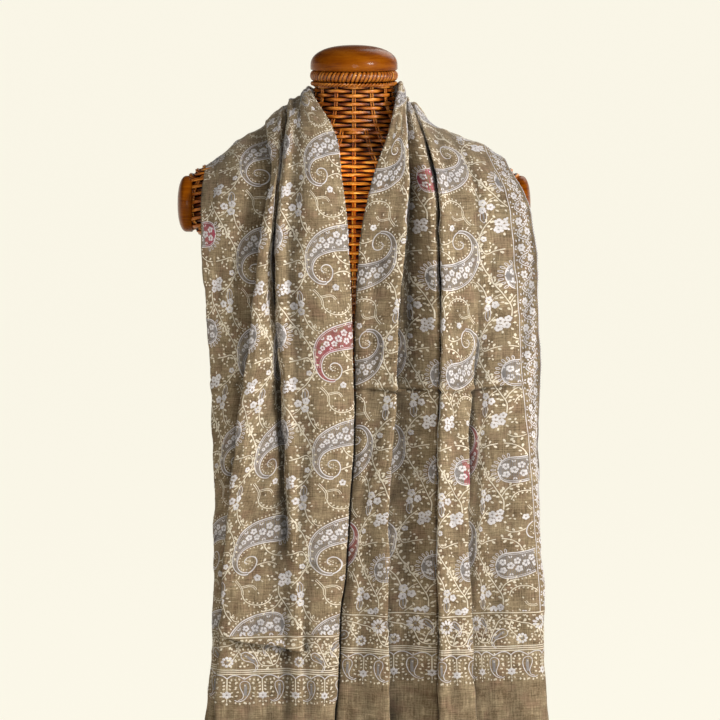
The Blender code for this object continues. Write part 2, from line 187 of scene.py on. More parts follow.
# height, half breadth, depth forward, depth back
FORM_SECTIONS = (
    (222, 150, 90, 98), (226, 154, 93, 101), (250, 159, 95, 104), (300, 163, 98, 108),
    (360, 162, 99, 110), (440, 152, 96, 102), (520, 134, 88, 87), (580, 125, 83, 76),
    (620, 123, 82, 73), (660, 127, 85, 75), (740, 141, 95, 84), (800, 149, 96, 92),
    (830, 153, 91, 94), (850, 161, 85, 92), (862, 174, 80, 89), (874, 190, 75, 86),
    (886, 201, 71, 82), (902, 206, 65, 77), (918, 205, 60, 72), (930, 200, 56, 68),
    (938, 194, 54, 66), (946, 183, 53, 64), (953, 167, 52, 62), (960, 145, 51, 60),
    (968, 119, 50, 59), (977, 97, 49, 58), (987, 80, 49, 56), (998, 67, 48, 54),
    (1010, 56, 48, 52), (1022, 50, 48, 50), (1034, 48, 48, 48), (1048, 48, 48, 48),
)
FORM_ROUNDNESS = 2.2           # exponent of each section
FORM_LEVELS = 500
FORM_BOTTOM = 222 * MM
NECK_START = 992 * MM          # here the neck's own level rows begin
NECK_TOP = 1048 * MM
ARM_FACE = 195 * MM            # flat end of each arm stub
GAP = 0.3 * MM                 # between pieces that stand on one another

ARM_CAP_RADIUS = 33 * MM
ARM_CAP_DEPTH = 12 * MM
ARM_CAP_HEIGHT = 904 * MM
ARM_CAP_SKIRT = 6 * MM         # how far an arm cap laps over its stub
RING_HEIGHT = 12.5 * MM
CAP_RADIUS = 51 * MM
OBJECT_HEIGHT = 1090 * MM
DOME_POWER = 0.86              # 1 is a true ellipse, less is squarer
BOARD_THICKNESS = 15 * MM
POST_RADIUS = 15 * MM
BASE_RADIUS = 150 * MM
BASE_THICKNESS = 24 * MM
BASE_EDGE = 5 * MM
BOARD_SIDES = 160
BOARD_PROFILE = (              # of the board's edge, in mm: height, how far out
    (0, 0), (1.5, 3), (3, 4), (7.5, 4.4), (12, 4), (13.5, 3), (15, 0),
)
POST_PROFILE = (               # shares of the post's radius, and of its height
    (2.4, 0), (2.4, 0.04), (2.1, 0.08), (1.3, 0.14), (1.05, 0.22), (1.0, 0.5),
    (1.05, 0.78), (1.3, 0.86), (1.9, 0.9), (1.9, 0.95), (1.7, 1.0),
)

STAKES = 28                    # pairs of stakes round the torso, and round the neck
NECK_STAKES = 14
POINTS_PER_STAKE, POINTS_PER_NECK_STAKE = 4, 8
STAKE_GAP = 2.8 * MM
STAKE_RADIUS = 1.05 * MM
STAKE_DEPTH = 0.25             # painted shade on the stakes: 0 is none
ROW_PITCH = 4.85 * MM
WEAVE_DEPTH = 2.2 * MM         # how far a row swings out and in at the stakes
WEAVE_INSET = 2.55 * MM        # the stakes' middle, in from the form's outer surface
WEAVE_JITTER = 0.12 * MM
DIVE_SHRINK = 0.70             # height of a row where it passes behind a stake
FAN_START = 840 * MM           # above this height the rows follow the shoulders
LEVEL_SHARE = (0.165, 0.195)   # shares of the way round: rows stay level in front of the first
SPLIT_PLACE = 600 * MM         # here the torso's weave is divided into two pieces
STRIP_STEP = 0.0097            # own places of two strips lie this far apart in the material
TWIST_TURNS = 34
TWIST_RING, TWIST_STRAND = 48.6 * MM, 1.25 * MM
WRAP_TURNS = 62                # turns of cane round the neck ring
WRAP_RING = 46.8 * MM
# one woven row across its width: (out from the row's middle, up), in mm
ROW_PROFILE = (
    (-1.5, -2.5), (0.35, -1.75), (1.0, -1.0), (0.25, -0.05), (0.95, 0.95), (0.3, 1.7), (-1.5, 2.5),
)

FRINGE_SEED = {"left": 21, "right": 22}
FRINGE_LENGTH = 50 * MM
YARN_SPACING = 3.6 * MM
YARN_TWIST = 9 * MM
YARN_STEPS = 11
PLY_OFF, PLY_RADIUS, PLY_TIP = 0.55 * MM, 0.62 * MM, 0.3 * MM

# ---------------------------------------------------------------- colours

STRAND_SCALE = 2600 / 6.2832   # of the thread's strands
# thread, slot, name, its darker and its lighter colour in linear light
THREADS = (
    ("cream", "cream_thread", "Cream thread", (0.50, 0.445, 0.345), (0.70, 0.64, 0.53)),
    ("white", "cream_thread", "Pale lilac thread", (0.43, 0.41, 0.42), (0.66, 0.635, 0.65)),
    ("grey", "grey_thread", "Grey lavender thread", (0.135, 0.122, 0.12), (0.25, 0.235, 0.235)),
    ("rose", "rose_thread", "Rose thread", (0.20, 0.020, 0.045), (0.36, 0.065, 0.11)),
)
YARN = ("Loose wool yarn", (0.20, 0.145, 0.088), (0.36, 0.285, 0.19), 0.85)
# Painted light on the cane in the open front between the falls, which the falls shade: how many
# times brighter it is, and how far off the middle that ends. Each of the limits below adds to the
# distance off the middle, by the place along one axis.
PAINTED_LIGHT_GAIN = (7.2, 8.4, 8.4, 1)
PAINTED_LIGHT_EDGE = (0.045, 0.105)
PAINTED_LIGHT_LIMITS = (                # axis, from, to, added at "from", added at "to"
    ("Z", 0.94, 0.985, 0.0, 0.1), ("Y", -0.03, 0.0, 0.0, 0.2), ("Z", 0.78, 0.88, 0.14, 0.02),
)
PAINTED_LIGHT_FACING = (0.1, 0.5, 1.0, 0.12)      # from, to: how far the surface faces up; shares of the painted light there
RING_SHADE = (1.036, 1.042, 1.0, 0.72)   # the neck ring is darker than the weave below it

# ---------------------------------------------------------------- stage, lights and camera

CAMERA_TARGET = (0.007, -0.12, 0.7346)
CAMERA_ELEVATION = 7.5
CAMERA_DISTANCE = 3.9
CAMERA_LENS = 170
FLOOR_REACH = 90.0
FLOOR_SIDES, FLOOR_RINGS = 24, 15
FLOOR_MIDDLE = (0.0, -1.2)
FLOOR_FADE = (1.5, 2.3)        # from this far to this far out the floor turns to its glow
FLOOR_GLOW = 0.985
FLOOR_COLOUR = (0.74, 0.71, 0.62, 1)
FAR_COLOUR = (0.05, 0.05, 0.045, 1)
GLOW_COLOUR = (0.956, 0.922, 0.799, 1)
WORLD_COLOUR = (1.0, 0.96, 0.86, 1)
WORLD_BAND = (0.06, 0.30, 0.80, 0.06)    # pale up to the first height of view, dim from the next
# name, place, aim, size, power in watts, colour
LIGHTS = (
    ("key", (2.52, -2.42, 2.35), (0, 0, 0.7), (0.9, 0.9), 158, (1.0, 0.97, 0.93)),
    ("front", (0.2, -3.6, 1.5), (0, 0, 0.8), (0.9, 0.9), 22, (1.0, 0.975, 0.94)),
    ("fill", (-2.4, -2.2, 1.3), (0, 0, 0.7), (1.6, 2.2), 6, (1.0, 0.98, 0.95)),
    ("rim", (0.9, 1.8, 2.2), (0, 0, 0.8), (1.4, 1.4), 12, (1.0, 0.97, 0.92)),
)

# ---------------------------------------------------------------- the embroidery's sizes, in mm

REPEAT = (86, 112.5)           # one repeat of the field: across the cloth, along it
FIRST_CIRCLE = (34, 284)       # flat place of one paisley's circle
FIELD_ROWS, FIELD_COLUMNS = range(-2, 17), range(-1, 6)
BORDER_LINES = (119, 157, 199)           # distance from the cloth's end
DOUBLED = (-2.6, 2.4)          # the middle border line has two more beside it
ARCADE = 35.0                  # repeat of the lower band of the end border
BAND = 74.0                    # and of the upper one
BAND_REACH = 480               # how far out from the fold the bands are laid
SIDE_REPEAT = 31.0
SIDE_BORDER = 30               # width of the border along the selvage
SIDE_LINES = (0.0, 0.985)      # its two lines, as shares of its width
SIDE_FOLD, SELVAGE = 14, 15    # fold lines on the border's two sides
THREAD = 1.3                   # width of a line of stitches
THREAD_RISE = 0.42             # how far it stands off the cloth
STITCH_STEP = 1.6              # length of a straight piece along a line
RULE_STEP = 1.8                # and along the borders' straight lines
SUNK = -0.06                   # the stitches' edges lie just inside the cloth
HAND_SEED = 31
HAND = (6, (0.05, 0.2), (0.05, 0.2), 0.5)          # how hand work wanders, as in RIPPLES
# repeats worked partly in rose: (column, row) and the stretch of the paisley's spine that is rose
ROSE_CELLS = {
    (0, 2): (0, 200), (3, 3): (0, 17), (2, 8): (0, 17), (3, 11): (8, 200), (0, 12): (0, 200),
    (1, 6): (0, 200),
}
EMBROIDERED_UNDER = 34         # how far past the fold the embroidery goes on
MOST_FACES = 190000            # triangles in one piece
# a leaf's outline, as shares of its length and its width
LEAF = ((0, 0), (0.38, 0.46), (0.80, 0.44), (1, 0), (0.80, -0.44), (0.38, -0.46))


# ---------------------------------------------------------------- lines

def unit(vectors):
    return vectors / np.maximum(np.linalg.norm(vectors, axis=-1, keepdims=True), 1e-12)


def distances(points, axis=0):
    """Distance of each point along its line, which runs along this axis."""
    step = np.linalg.norm(np.diff(points, axis=axis), axis=-1)
    start = np.zeros_like(step.take([0], axis))
    return np.concatenate([start, np.cumsum(step, axis=axis)], axis=axis)


def part_way(at, run, values):
    """A line's values at these distances along it."""
    return np.stack([np.interp(at, run, column) for column in values.T], -1)


def oval(angles, roundness):
    """x and y of a rounded oval one wide; a roundness of 2 is a circle."""
    circle = np.cos(angles), np.sin(angles)
    return [np.sign(share) * abs(share) ** (2 / roundness) for share in circle]


def smooth_through(knots, values, wanted):
    """A cubic through values at knots, with the slopes of its neighbours (Catmull-Rom)."""
    knots = np.asarray(knots, float)
    values = np.asarray(values, float)
    slopes = np.gradient(values, knots, axis=0)
    cell = np.clip(np.searchsorted(knots, wanted, side="right") - 1, 0, len(knots) - 2)
    width = knots[cell + 1] - knots[cell]
    u = (np.asarray(wanted) - knots[cell]) / width
    if values.ndim > 1:
        shape = (-1,) + (1,) * (values.ndim - 1)
        u = u.reshape(shape)
        width = width.reshape(shape)
    return (
        (2 * u**3 - 3 * u**2 + 1) * values[cell]
        + (u**3 - 2 * u**2 + u) * width * slopes[cell]
        + (3 * u**2 - 2 * u**3) * values[cell + 1]
        + (u**3 - u**2) * width * slopes[cell + 1]
    )


def fall_line(row, side, shares):
    """Points of one fold line of a fall, at these shares of its height."""
    _, forward, top, outward = row
    shares = np.asarray(shares)
    out = smooth_through(HEIGHTS, outward, shares) * MM
    hang = smooth_through((0, MID_SHARE, CHEST_SHARE), forward, np.minimum(shares, CHEST_SHARE))
    over = np.clip((shares - CHEST_SHARE) / (1 - CHEST_SHARE), 0, 1)
    hang = hang * MM * (1 - over**SHOULDER_POWER) ** (1 / SHOULDER_POWER)
    end = END_HEIGHT[side]
    sign = -1 if side == "left" else 1
    return np.stack([sign * out, -hang, end + shares * (top * MM - end)], axis=1)


# ---------------------------------------------------------------- meshes

def mesh_of(name, points, *face_sets):
    """A mesh from an array of points and arrays of faces, each array with its own corner count."""
    face_sets = [np.asarray(f, dtype=np.int32) for f in face_sets if len(f)]
    corners = np.concatenate([f.ravel() for f in face_sets])
    sizes = np.concatenate([np.full(len(f), f.shape[1], dtype=np.int32) for f in face_sets])
    starts = np.concatenate([[0], np.cumsum(sizes)[:-1]]).astype(np.int32)
    mesh = bpy.data.meshes.new(name)
    mesh.vertices.add(len(points))
    mesh.vertices.foreach_set("co", np.asarray(points, dtype=np.float32).ravel())
    mesh.loops.add(len(corners))
    mesh.loops.foreach_set("vertex_index", corners)
    mesh.polygons.add(len(sizes))
    mesh.polygons.foreach_set("loop_start", starts)
    mesh.update(calc_edges=True)
    mesh.validate()
    return mesh


def in_scene(name, data):
    made = bpy.data.objects.new(name, data)
    bpy.context.scene.collection.objects.link(made)
    return made


def add_piece(name, mesh, material, slot, *nodes, smooth=True):
    """Adds a visible piece that rides on the part's one body and stands for these CAD nodes."""
    made = in_scene(name, mesh)
    mesh.materials.append(material)
    if smooth:
        mesh.shade_smooth()
    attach(made, "root")
    if nodes:
        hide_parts(*nodes)
    return made


def flat_place(mesh, values):
    """Keeps each point's flat place on the cloth, in metres, for the material."""
    layer = mesh.attributes.new("flat", "FLOAT_VECTOR", "POINT")
    layer.data.foreach_set("vector", np.asarray(values, dtype=np.float32).ravel())


def hollow_values(mesh, values):
    """Stores how deep in a hollow of the cloth each point lies, in mm, which the materials turn
    into painted shade.
    """
    layer = mesh.attributes.new("hollow", "FLOAT", "POINT")
    layer.data.foreach_set("value", values.astype(np.float32))


def add_strands(name, points, face_sets, own, *said):
    """Adds a piece of cane or yarn; own is each point's place along and across its strand."""
    mesh = mesh_of(name, points, *face_sets)
    flat_place(mesh, own)
    return add_piece(name, mesh, *said)


def grid_faces(columns, rows, closed=False, tyre=False):
    """Quads of a grid of points stored column after column.

    Closed joins the last column to the first, and tyre the last row to the first too.
    """
    c = np.arange(columns if closed or tyre else columns - 1)[:, None]
    r = np.arange(rows if tyre else rows - 1)[None, :]
    right, up = (c + 1) % columns, (r + 1) % rows
    quads = (c * rows + r, right * rows + r, right * rows + up, c * rows + up)
    return np.stack(np.broadcast_arrays(*quads), -1).reshape(-1, 4)


def capped_faces(columns, rows):
    """Face sets of a closed grid with one flat face over its first row and one over its last."""
    low = np.arange(columns)[None, :] * rows
    return grid_faces(columns, rows, closed=True), low[:, ::-1], low + rows - 1


# ---------------------------------------------------------------- materials

class Shader:
    """A Principled material with a few calls to build its nodes."""

    def __init__(self, name, roughness=0.5, **constants):
        self.material = bpy.data.materials.new(name)
        self.material.use_nodes = True
        self.tree = self.material.node_tree
        self.principled = self.tree.nodes["Principled BSDF"]
        self.principled.inputs["Roughness"].default_value = roughness
        for socket, value in constants.items():
            self.principled.inputs[socket.replace("_", " ")].default_value = value

    def node(self, kind, inputs=(), **settings):
        made = self.tree.nodes.new("ShaderNode" + kind)
        for key, value in settings.items():
            setattr(made, key, value)
        for key, value in dict(inputs).items():
            if isinstance(value, bpy.types.NodeSocket):
                self.tree.links.new(value, made.inputs[key])
            else:
                made.inputs[key].default_value = value
        return made

    def flat(self):
        return self.node("Attribute", attribute_name="flat").outputs["Vector"]

    def place(self, kind="Object"):
        return self.node("TexCoord").outputs[kind]

    def split(self, vector):
        """Outputs X, Y and Z of a vector."""
        return self.node("SeparateXYZ", {"Vector": vector}).outputs

    def noise(self, vector, scale, detail=2.0, roughness=0.5):
        """Blotches; a scale of three numbers stretches them."""
        if not isinstance(scale, (int, float)):
            vector = self.node("Mapping", {"Vector": vector, "Scale": scale}).outputs["Vector"]
            scale = 1.0
        inputs = {"Vector": vector, "Scale": scale, "Detail": detail, "Roughness": roughness}
        return self.node("TexNoise", inputs).outputs["Fac"]

    def wave(self, vector, scale, direction="X", distortion=0.0):
        inputs = {"Vector": vector, "Scale": scale, "Distortion": distortion}
        made = self.node("TexWave", inputs, wave_type="BANDS", bands_direction=direction)
        return made.outputs["Fac"]

    def math(self, operation, a, b=0.0):
        return self.node("Math", {0: a, 1: b, 2: 0.0}, operation=operation).outputs[0]

    def total(self, first, *others):
        for other in others:
            first = self.math("ADD", first, other)
        return first

    def product(self, a, b):
        return self.math("MULTIPLY", a, b)

    def remap(self, value, low, high, to_low, to_high):
        inputs = {
            "Value": value, "From Min": low, "From Max": high,
            "To Min": to_low, "To Max": to_high,
        }
        return self.node("MapRange", inputs).outputs["Result"]

    def ramp(self, value, *stops):
        """A colour from a value: stops of (position, (r, g, b)) in linear light."""
        made = self.node("ValToRGB", {"Fac": value})
        elements = made.color_ramp.elements
        while len(elements) < len(stops):
            elements.new(0.5)
        for element, (position, colour) in zip(elements, stops):
            element.position = position
            element.color = (*colour, 1)
        return made.outputs["Color"]

    def mix(self, factor, a, b, blend="MIX"):
        inputs = {0: factor, 6: a, 7: b}
        return self.node("Mix", inputs, data_type="RGBA", blend_type=blend).outputs[2]

    def lit(self, colour, light):
        """The colour times a light, which may be a colour too."""
        return self.mix(1.0, colour, light, blend="MULTIPLY")

    def bump(self, height, strength, distance, normal=None):
        inputs = {"Height": height, "Strength": strength, "Distance": distance}
        if normal is not None:
            inputs["Normal"] = normal
        return self.node("Bump", inputs).outputs["Normal"]

    def curve(self, value, points):
        """A smooth function of a value through these points, all between 0 and 1."""
        made = self.node("FloatCurve", {"Value": value})
        line = made.mapping.curves[0]
        line.points[0].location = points[0]
        line.points[-1].location = points[-1]
        for point in points[1:-1]:
            line.points.new(*point)
        made.mapping.update()
        return made.outputs[0]

    def shaded(self, colour):
        """The colour with painted shade in the cloth's hollows, painted light on its ridges, and a
        painted shadow where one fall passes under the other.
        """
        hollow = self.node("Attribute", attribute_name="hollow").outputs["Fac"]
        light = self.remap(hollow, *HOLLOW_RANGE, *HOLLOW_LIGHT)
        place = self.split(self.place())
        z_share = self.remap(place["Z"], *SEAM_Z, 0.0, 1.0)
        edge = self.remap(self.curve(z_share, seam_points()), 0.0, 1.0, *SEAM_X)
        beside = self.math("SUBTRACT", place["X"], edge)
        line = self.remap(beside, *SEAM_WIDTH, SEAM_LIGHT, 1.0)
        soft = self.remap(beside, 0.0, SEAM_SOFT, SEAM_SOFT_LIGHT, 1.0)
        # the painted shadow line lies only on the right fall's half of the cloth, and below the
        # seam's upper end
        under = self.math("GREATER_THAN", self.split(self.flat())["Y"], CLOTH_LENGTH / 2)
        under = self.product(under, self.math("LESS_THAN", z_share, 0.999))
        dark = self.math("SUBTRACT", self.product(line, soft), 1.0)
        dark = self.total(1.0, self.product(under, dark))
        return self.lit(colour, self.product(light, dark))

    def use(self, **sockets):
        for socket, value in sockets.items():
            self.tree.links.new(value, self.principled.inputs[socket.replace("_", " ")])
        return self.material


def cloth_material():
    """Heathered twill wool: blotches of olive and brown, slubs both ways, fine diagonal weave."""
    s = Shader("Pashmina twill", roughness=0.88, Sheen_Weight=0.22, Sheen_Roughness=0.45,
               Sheen_Tint=(0.95, 0.85, 0.7, 1), Specular_IOR_Level=0.22)
    flat = s.flat()
    blotch = s.total(s.product(s.noise(flat, 48, detail=4, roughness=0.62), 0.62),
                     s.product(s.noise(flat, 520, detail=2, roughness=0.6), 0.38))
    colour = s.ramp(blotch, (0.38, (0.132, 0.092, 0.051)), (0.48, (0.198, 0.146, 0.088)),
                    (0.55, (0.230, 0.177, 0.106)), (0.64, (0.300, 0.232, 0.146)))
    warm = s.noise(flat, 46, detail=4, roughness=0.62)
    colour = s.mix(s.remap(warm, 0.50, 0.66, 0.0, 0.6), colour, (0.200, 0.124, 0.080, 1))
    slub = s.total(s.noise(flat, (900, 50, 1), detail=3), s.noise(flat, (55, 820, 1), detail=3))
    light = s.ramp(s.product(slub, 0.5), (0.39, (0.60, 0.58, 0.54)), (0.5, (1, 1, 1)),
                   (0.61, (1.36, 1.38, 1.42)))
    colour = s.lit(colour, light)
    twill = s.wave(flat, 360, "DIAGONAL")
    normal = s.bump(s.total(s.product(twill, 0.5), slub), 0.35, 0.0003)
    nap = s.noise(flat, 420)
    normal = s.bump(nap, 0.25, 0.0004, normal)
    return s.use(Base_Color=s.shaded(colour), Normal=normal)


def thread_material(name, dark, light, roughness=0.62):
    """Embroidery thread: its tone varies along the work, and its strands show as fine relief."""
    s = Shader(name, roughness=roughness, Sheen_Weight=0.15, Sheen_Roughness=0.4,
               Specular_IOR_Level=0.35)
    flat = s.flat()
    tone = s.noise(flat, 70, detail=3, roughness=0.6)
    speck = s.noise(flat, 900)
    blend = s.total(s.product(tone, 0.7), s.product(speck, 0.3))
    colour = s.ramp(blend, (0.36, dark), (0.6, light))
    strand = s.wave(flat, STRAND_SCALE, "DIAGONAL", distortion=1.5)
    return s.use(Base_Color=s.shaded(colour), Normal=s.bump(strand, 0.4, 0.0002))


def cane_material():
    """Varnished split cane: each strip its own orange brown, fine fibres, painted shade in the
    weave's depths, and painted light on the front between the falls.
    """
    s = Shader("Woven cane", roughness=0.36, Coat_Weight=0.12, Coat_Roughness=0.16,
               Specular_IOR_Level=0.3)
    flat = s.flat()
    strip = s.noise(flat, (14, 206, 1), detail=2, roughness=0.7)
    colour = s.ramp(strip, (0.30, (0.200, 0.040, 0.003)), (0.44, (0.400, 0.110, 0.009)),
                    (0.57, (0.600, 0.210, 0.024)), (0.72, (0.800, 0.380, 0.085)))
    fibre = s.noise(flat, (60, 3600, 1))
    colour = s.lit(colour, s.ramp(fibre, (0.35, (0.72, 0.68, 0.62)), (0.65, (1.1, 1.1, 1.1))))
    # painted shade: the own place's third value is how deep in the weave a point lies; points that
    # swing out are painted a little lighter, deeper ones darker, down to near black on the rows'
    # inner sides and in the ring's grooves
    painted_weave_shade = s.ramp(s.split(flat)["Z"], (0.0, (1.12, 1.12, 1.10)), (0.30, (0.86, 0.80, 0.72)),
                   (0.62, (0.34, 0.20, 0.12)), (0.9, (0.06, 0.02, 0.01)))
    colour = s.lit(colour, painted_weave_shade)
    # painted light: the open front between the falls, in the falls' shadow, is painted a brighter
    # orange, but less where it faces up into the lamps
    place = s.split(s.place())
    off = s.math("ABSOLUTE", place["X"])
    for axis, *limits in PAINTED_LIGHT_LIMITS:
        off = s.total(off, s.remap(place[axis], *limits))
    painted_light_share = s.product(s.remap(off, *PAINTED_LIGHT_EDGE, 1.0, 0.0),
                      s.remap(s.split(s.place("Normal"))["Z"], *PAINTED_LIGHT_FACING))
    colour = s.mix(painted_light_share, colour, s.lit(colour, PAINTED_LIGHT_GAIN))
    colour = s.lit(colour, s.remap(place["Z"], *RING_SHADE))
    rough = s.remap(strip, 0.3, 0.7, 0.42, 0.26)
    return s.use(Base_Color=colour, Roughness=rough, Normal=s.bump(fibre, 0.3, 0.0003))


def wood_material():
    """Honey-brown varnish over turned wood, with streaky rings and small wear marks."""
    s = Shader("Varnished wood", roughness=0.42, Coat_Weight=0.3, Coat_Roughness=0.07,
               Coat_IOR=1.25, Specular_IOR_Level=0.05)
    place = s.place()
    streak = s.noise(place, (30, 30, 260), detail=4, roughness=0.6)
    colour = s.ramp(streak, (0.30, (0.110, 0.023, 0.001)), (0.48, (0.190, 0.046, 0.001)),
                    (0.64, (0.245, 0.068, 0.002)), (0.78, (0.310, 0.102, 0.006)))
    wear = s.noise(place, 55, detail=5, roughness=0.7)
    rough = s.remap(wear, 0.35, 0.7, 0.2, 0.45)
    return s.use(Base_Color=colour, Roughness=rough, Normal=s.bump(streak, 0.15, 0.0005))


# ---------------------------------------------------------------- the cloth's surface

def dense_lines(outer, under, side):
    """The fold lines of one fall from its end to the shoulder's top, ordered under to selvage."""
    hanging = np.linspace(0, CHEST_SHARE, HANG_STEPS, endpoint=False)
    angles = np.linspace(0, np.pi / 2, SHOULDER_STEPS)
    shoulder = CHEST_SHARE + (1 - CHEST_SHARE) * np.sin(angles) ** (2 / SHOULDER_POWER)
    shares = np.concatenate([hanging, shoulder])
    rows = list(under[::-1]) + list(outer)
    return np.array([fall_line(row, side, shares) for row in rows])


def neck_lines(left_tops, right_tops):
    """The same lines round the back of the neck, from the left shoulder to the right one."""
    middles = np.array(list(UNDER_BACK[::-1]) + list(OUTER_BACK)) * MM
    angle = np.linspace(0, np.pi, NECK_STEPS)[None, 1:-1]
    first = angle < np.pi / 2
    out = np.where(first, left_tops[:, :1], right_tops[:, :1])
    top = np.where(first, left_tops[:, 2:], right_tops[:, 2:])
    height, back = middles[:, :1], middles[:, 1:]
    round_back = np.sin(angle)
    rise = 1 - round_back**BACK_POWER
    across = out * abs(np.cos(angle))
    return np.stack([across, back * round_back, height + (top - height) * rise], axis=-1)


def line_places():
    """Where the mesh's columns lie among the fold lines: more of them where the cloth is wide."""
    left = dense_lines(OUTER_LEFT, UNDER_LEFT, "left")
    right = dense_lines(OUTER_RIGHT, UNDER_RIGHT, "right")
    places = [0.0]
    for line in range(len(left) - 1):
        width = max(
            np.linalg.norm(side[line + 1, :HANG_STEPS] - side[line, :HANG_STEPS], axis=1).mean()
            for side in (left, right)
        )
        steps = int(np.clip(round(width / COLUMN_WIDTH), *COLUMN_STEPS))
        places += list(line + np.arange(1, steps + 1) / steps)
    return left, right, np.array(places)


def plain_sheet():
    """The folded sheet before its small creases: points (columns, rows, 3), and w and s of each."""
    left, right, places = line_places()
    neck = neck_lines(left[:, -1], right[:, -1])
    knots = np.arange(len(left), dtype=float)
    left, neck, right = (smooth_through(knots, part, places) for part in (left, neck, right))
    right = right[:, ::-1]
    whole = np.concatenate([left, neck, right], axis=1)
    run = distances(whole, axis=1)
    rows = row_places()
    points = np.empty((len(places), ROWS, 3))
    lengths = zip(distances(left, axis=1)[:, -1], distances(right, axis=1)[:, -1], run[:, -1])
    for column, (on_left, on_right, total) in enumerate(lengths):
        # flat distance along this column: true on both falls, stretched to fit round the neck
        flat_knots = (0, on_left, CLOTH_LENGTH - on_right, CLOTH_LENGTH)
        true = np.interp(rows, flat_knots, (0, on_left, total - on_right, total))
        points[column] = part_way(true, run[column], whole[column])
    fold = int(np.argmin(abs(places - len(UNDER_LEFT))))
    arc = distances(points)
    arc = arc - arc[fold]
    line_flat = flat_of_lines(rows)
    w = np.empty_like(arc)
    w[: fold + 1] = line_flat[0] + arc[: fold + 1]
    number = places[fold:] - places[fold]
    for row in range(ROWS):
        line_arc = np.interp(np.arange(len(line_flat)), number, arc[fold:, row])
        w[fold:, row] = np.interp(arc[fold:, row], line_arc, line_flat[:, row])
    return points, w, np.broadcast_to(rows, w.shape), rows, line_flat


def row_places():
    """Distances of the sheet's rows along the cloth, closer together across each sharp crease."""
    s = np.linspace(0, CLOTH_LENGTH, 4001)
    crowd = np.ones_like(s)
    crowded = [(place, 9 * MM) for place, _ in STORAGE_CREASES]
    crowded += [((s_low + s_high) / 2, 16 * MM) for _, s_low, _, s_high, _ in BUCKLES]
    for place, reach in crowded:
        crowd += ROW_CROWDING * np.exp(-((s - place) / reach) ** 2)
    share = np.concatenate([[0], np.cumsum((crowd[1:] + crowd[:-1]) / 2)])
    return np.interp(np.linspace(0, share[-1], ROWS), share, s)


def flat_of_lines(rows):
    """Flat w of the outer layer's fold lines at these distances along the cloth: (lines, rows)."""
    sides = []
    for side, table in (("left", FLAT_LEFT), ("right", FLAT_RIGHT)):
        distance = rows if side == "left" else CLOTH_LENGTH - rows
        heights = FLAT_HEIGHTS[side]
        sides.append(np.array([np.interp(distance, heights, line) for line in table]) * MM)
    turned = np.clip((rows - NECK_FROM) / (NECK_TO - NECK_FROM), 0, 1)
    turned = turned**2 * (3 - 2 * turned)
    middle = 1 - (1 - NECK_FLAT) * np.sin(np.pi * turned) ** 2
    return (sides[0] * (1 - turned) + sides[1] * turned) * middle


def grid_normals(points):
    """Outward normals; the sheet's columns run from under to selvage, its rows left to right."""
    across = np.gradient(points, axis=0)
    along = np.gradient(points, axis=1)
    return unit(np.cross(across, along)) * NORMAL_SIGN


class Ripples:
    """Smooth seeded noise: a sum of waves in the flat place."""

    def __init__(self, rng, count, w_waves, s_waves, height):
        self.parts = []
        for _ in range(count):
            wave_w = 2 * np.pi / rng.uniform(*w_waves) * rng.choice((-1, 1))
            wave_s = 2 * np.pi / rng.uniform(*s_waves)
            self.parts.append((wave_w, wave_s, rng.uniform(0, 2 * np.pi)))
        self.height = height / math.sqrt(count)

    def __call__(self, w, s):
        total = sum(np.sin(w * a + s * b + c) for a, b, c in self.parts)
        return total * self.height


def off_crease(w, s, place):
    """Distance past a storage crease."""
    return s - place + CREASE_WANDER * np.sin(w * 40)


def creased(points, w, s):
    """Adds what the cloth does at a small scale: ripples, storage creases and a buckled place."""
    rng = np.random.default_rng(CLOTH_SEED)
    height = sum(Ripples(rng, *waves, tall * MM)(w, s) for *waves, tall in RIPPLES)
    # folds kept from storage, straight across a fall
    inside = np.clip((w.max(axis=0) - 12 * MM - w) / (30 * MM), 0, 1)
    for place, depth in STORAGE_CREASES:
        depth = depth * inside
        across = off_crease(w, s, place) / CREASE_WIDTH
        height = height - depth * MM * np.exp(-across**2)
        height = height + 0.6 * depth * MM * np.exp(-((across + CREASE_LIP) ** 2) / 2)
    # the left fall buckles at its upper border line: the cloth above hangs over the cloth below
    for w_low, s_low, w_high, s_high, depth in BUCKLES:
        along = (w - w_low) / (w_high - w_low)
        line = s_low + (s_high - s_low) * along + 1.2 * MM * np.sin(w * 90)
        across = (s - line) / MM
        fade = np.clip(1.15 - np.minimum(abs(2 * along - 1), 2) ** 3, 0, 1)
        above, below = np.maximum(across, 0), np.minimum(across, 0)
        lobe = np.exp(-above / BUCKLE_ABOVE) * (1 - np.exp(-above / BUCKLE_RISE))
        dip = np.exp(below / BUCKLE_BELOW) * (1 - np.exp(below / BUCKLE_RISE))
        height = height + depth * MM * fade * (lobe - 0.75 * dip)
    # less at the fold's edge, where the cloth is pulled round
    height = height * np.clip(abs(w) / 0.02, 0.35, 1)
    return points + grid_normals(points) * height[..., None]


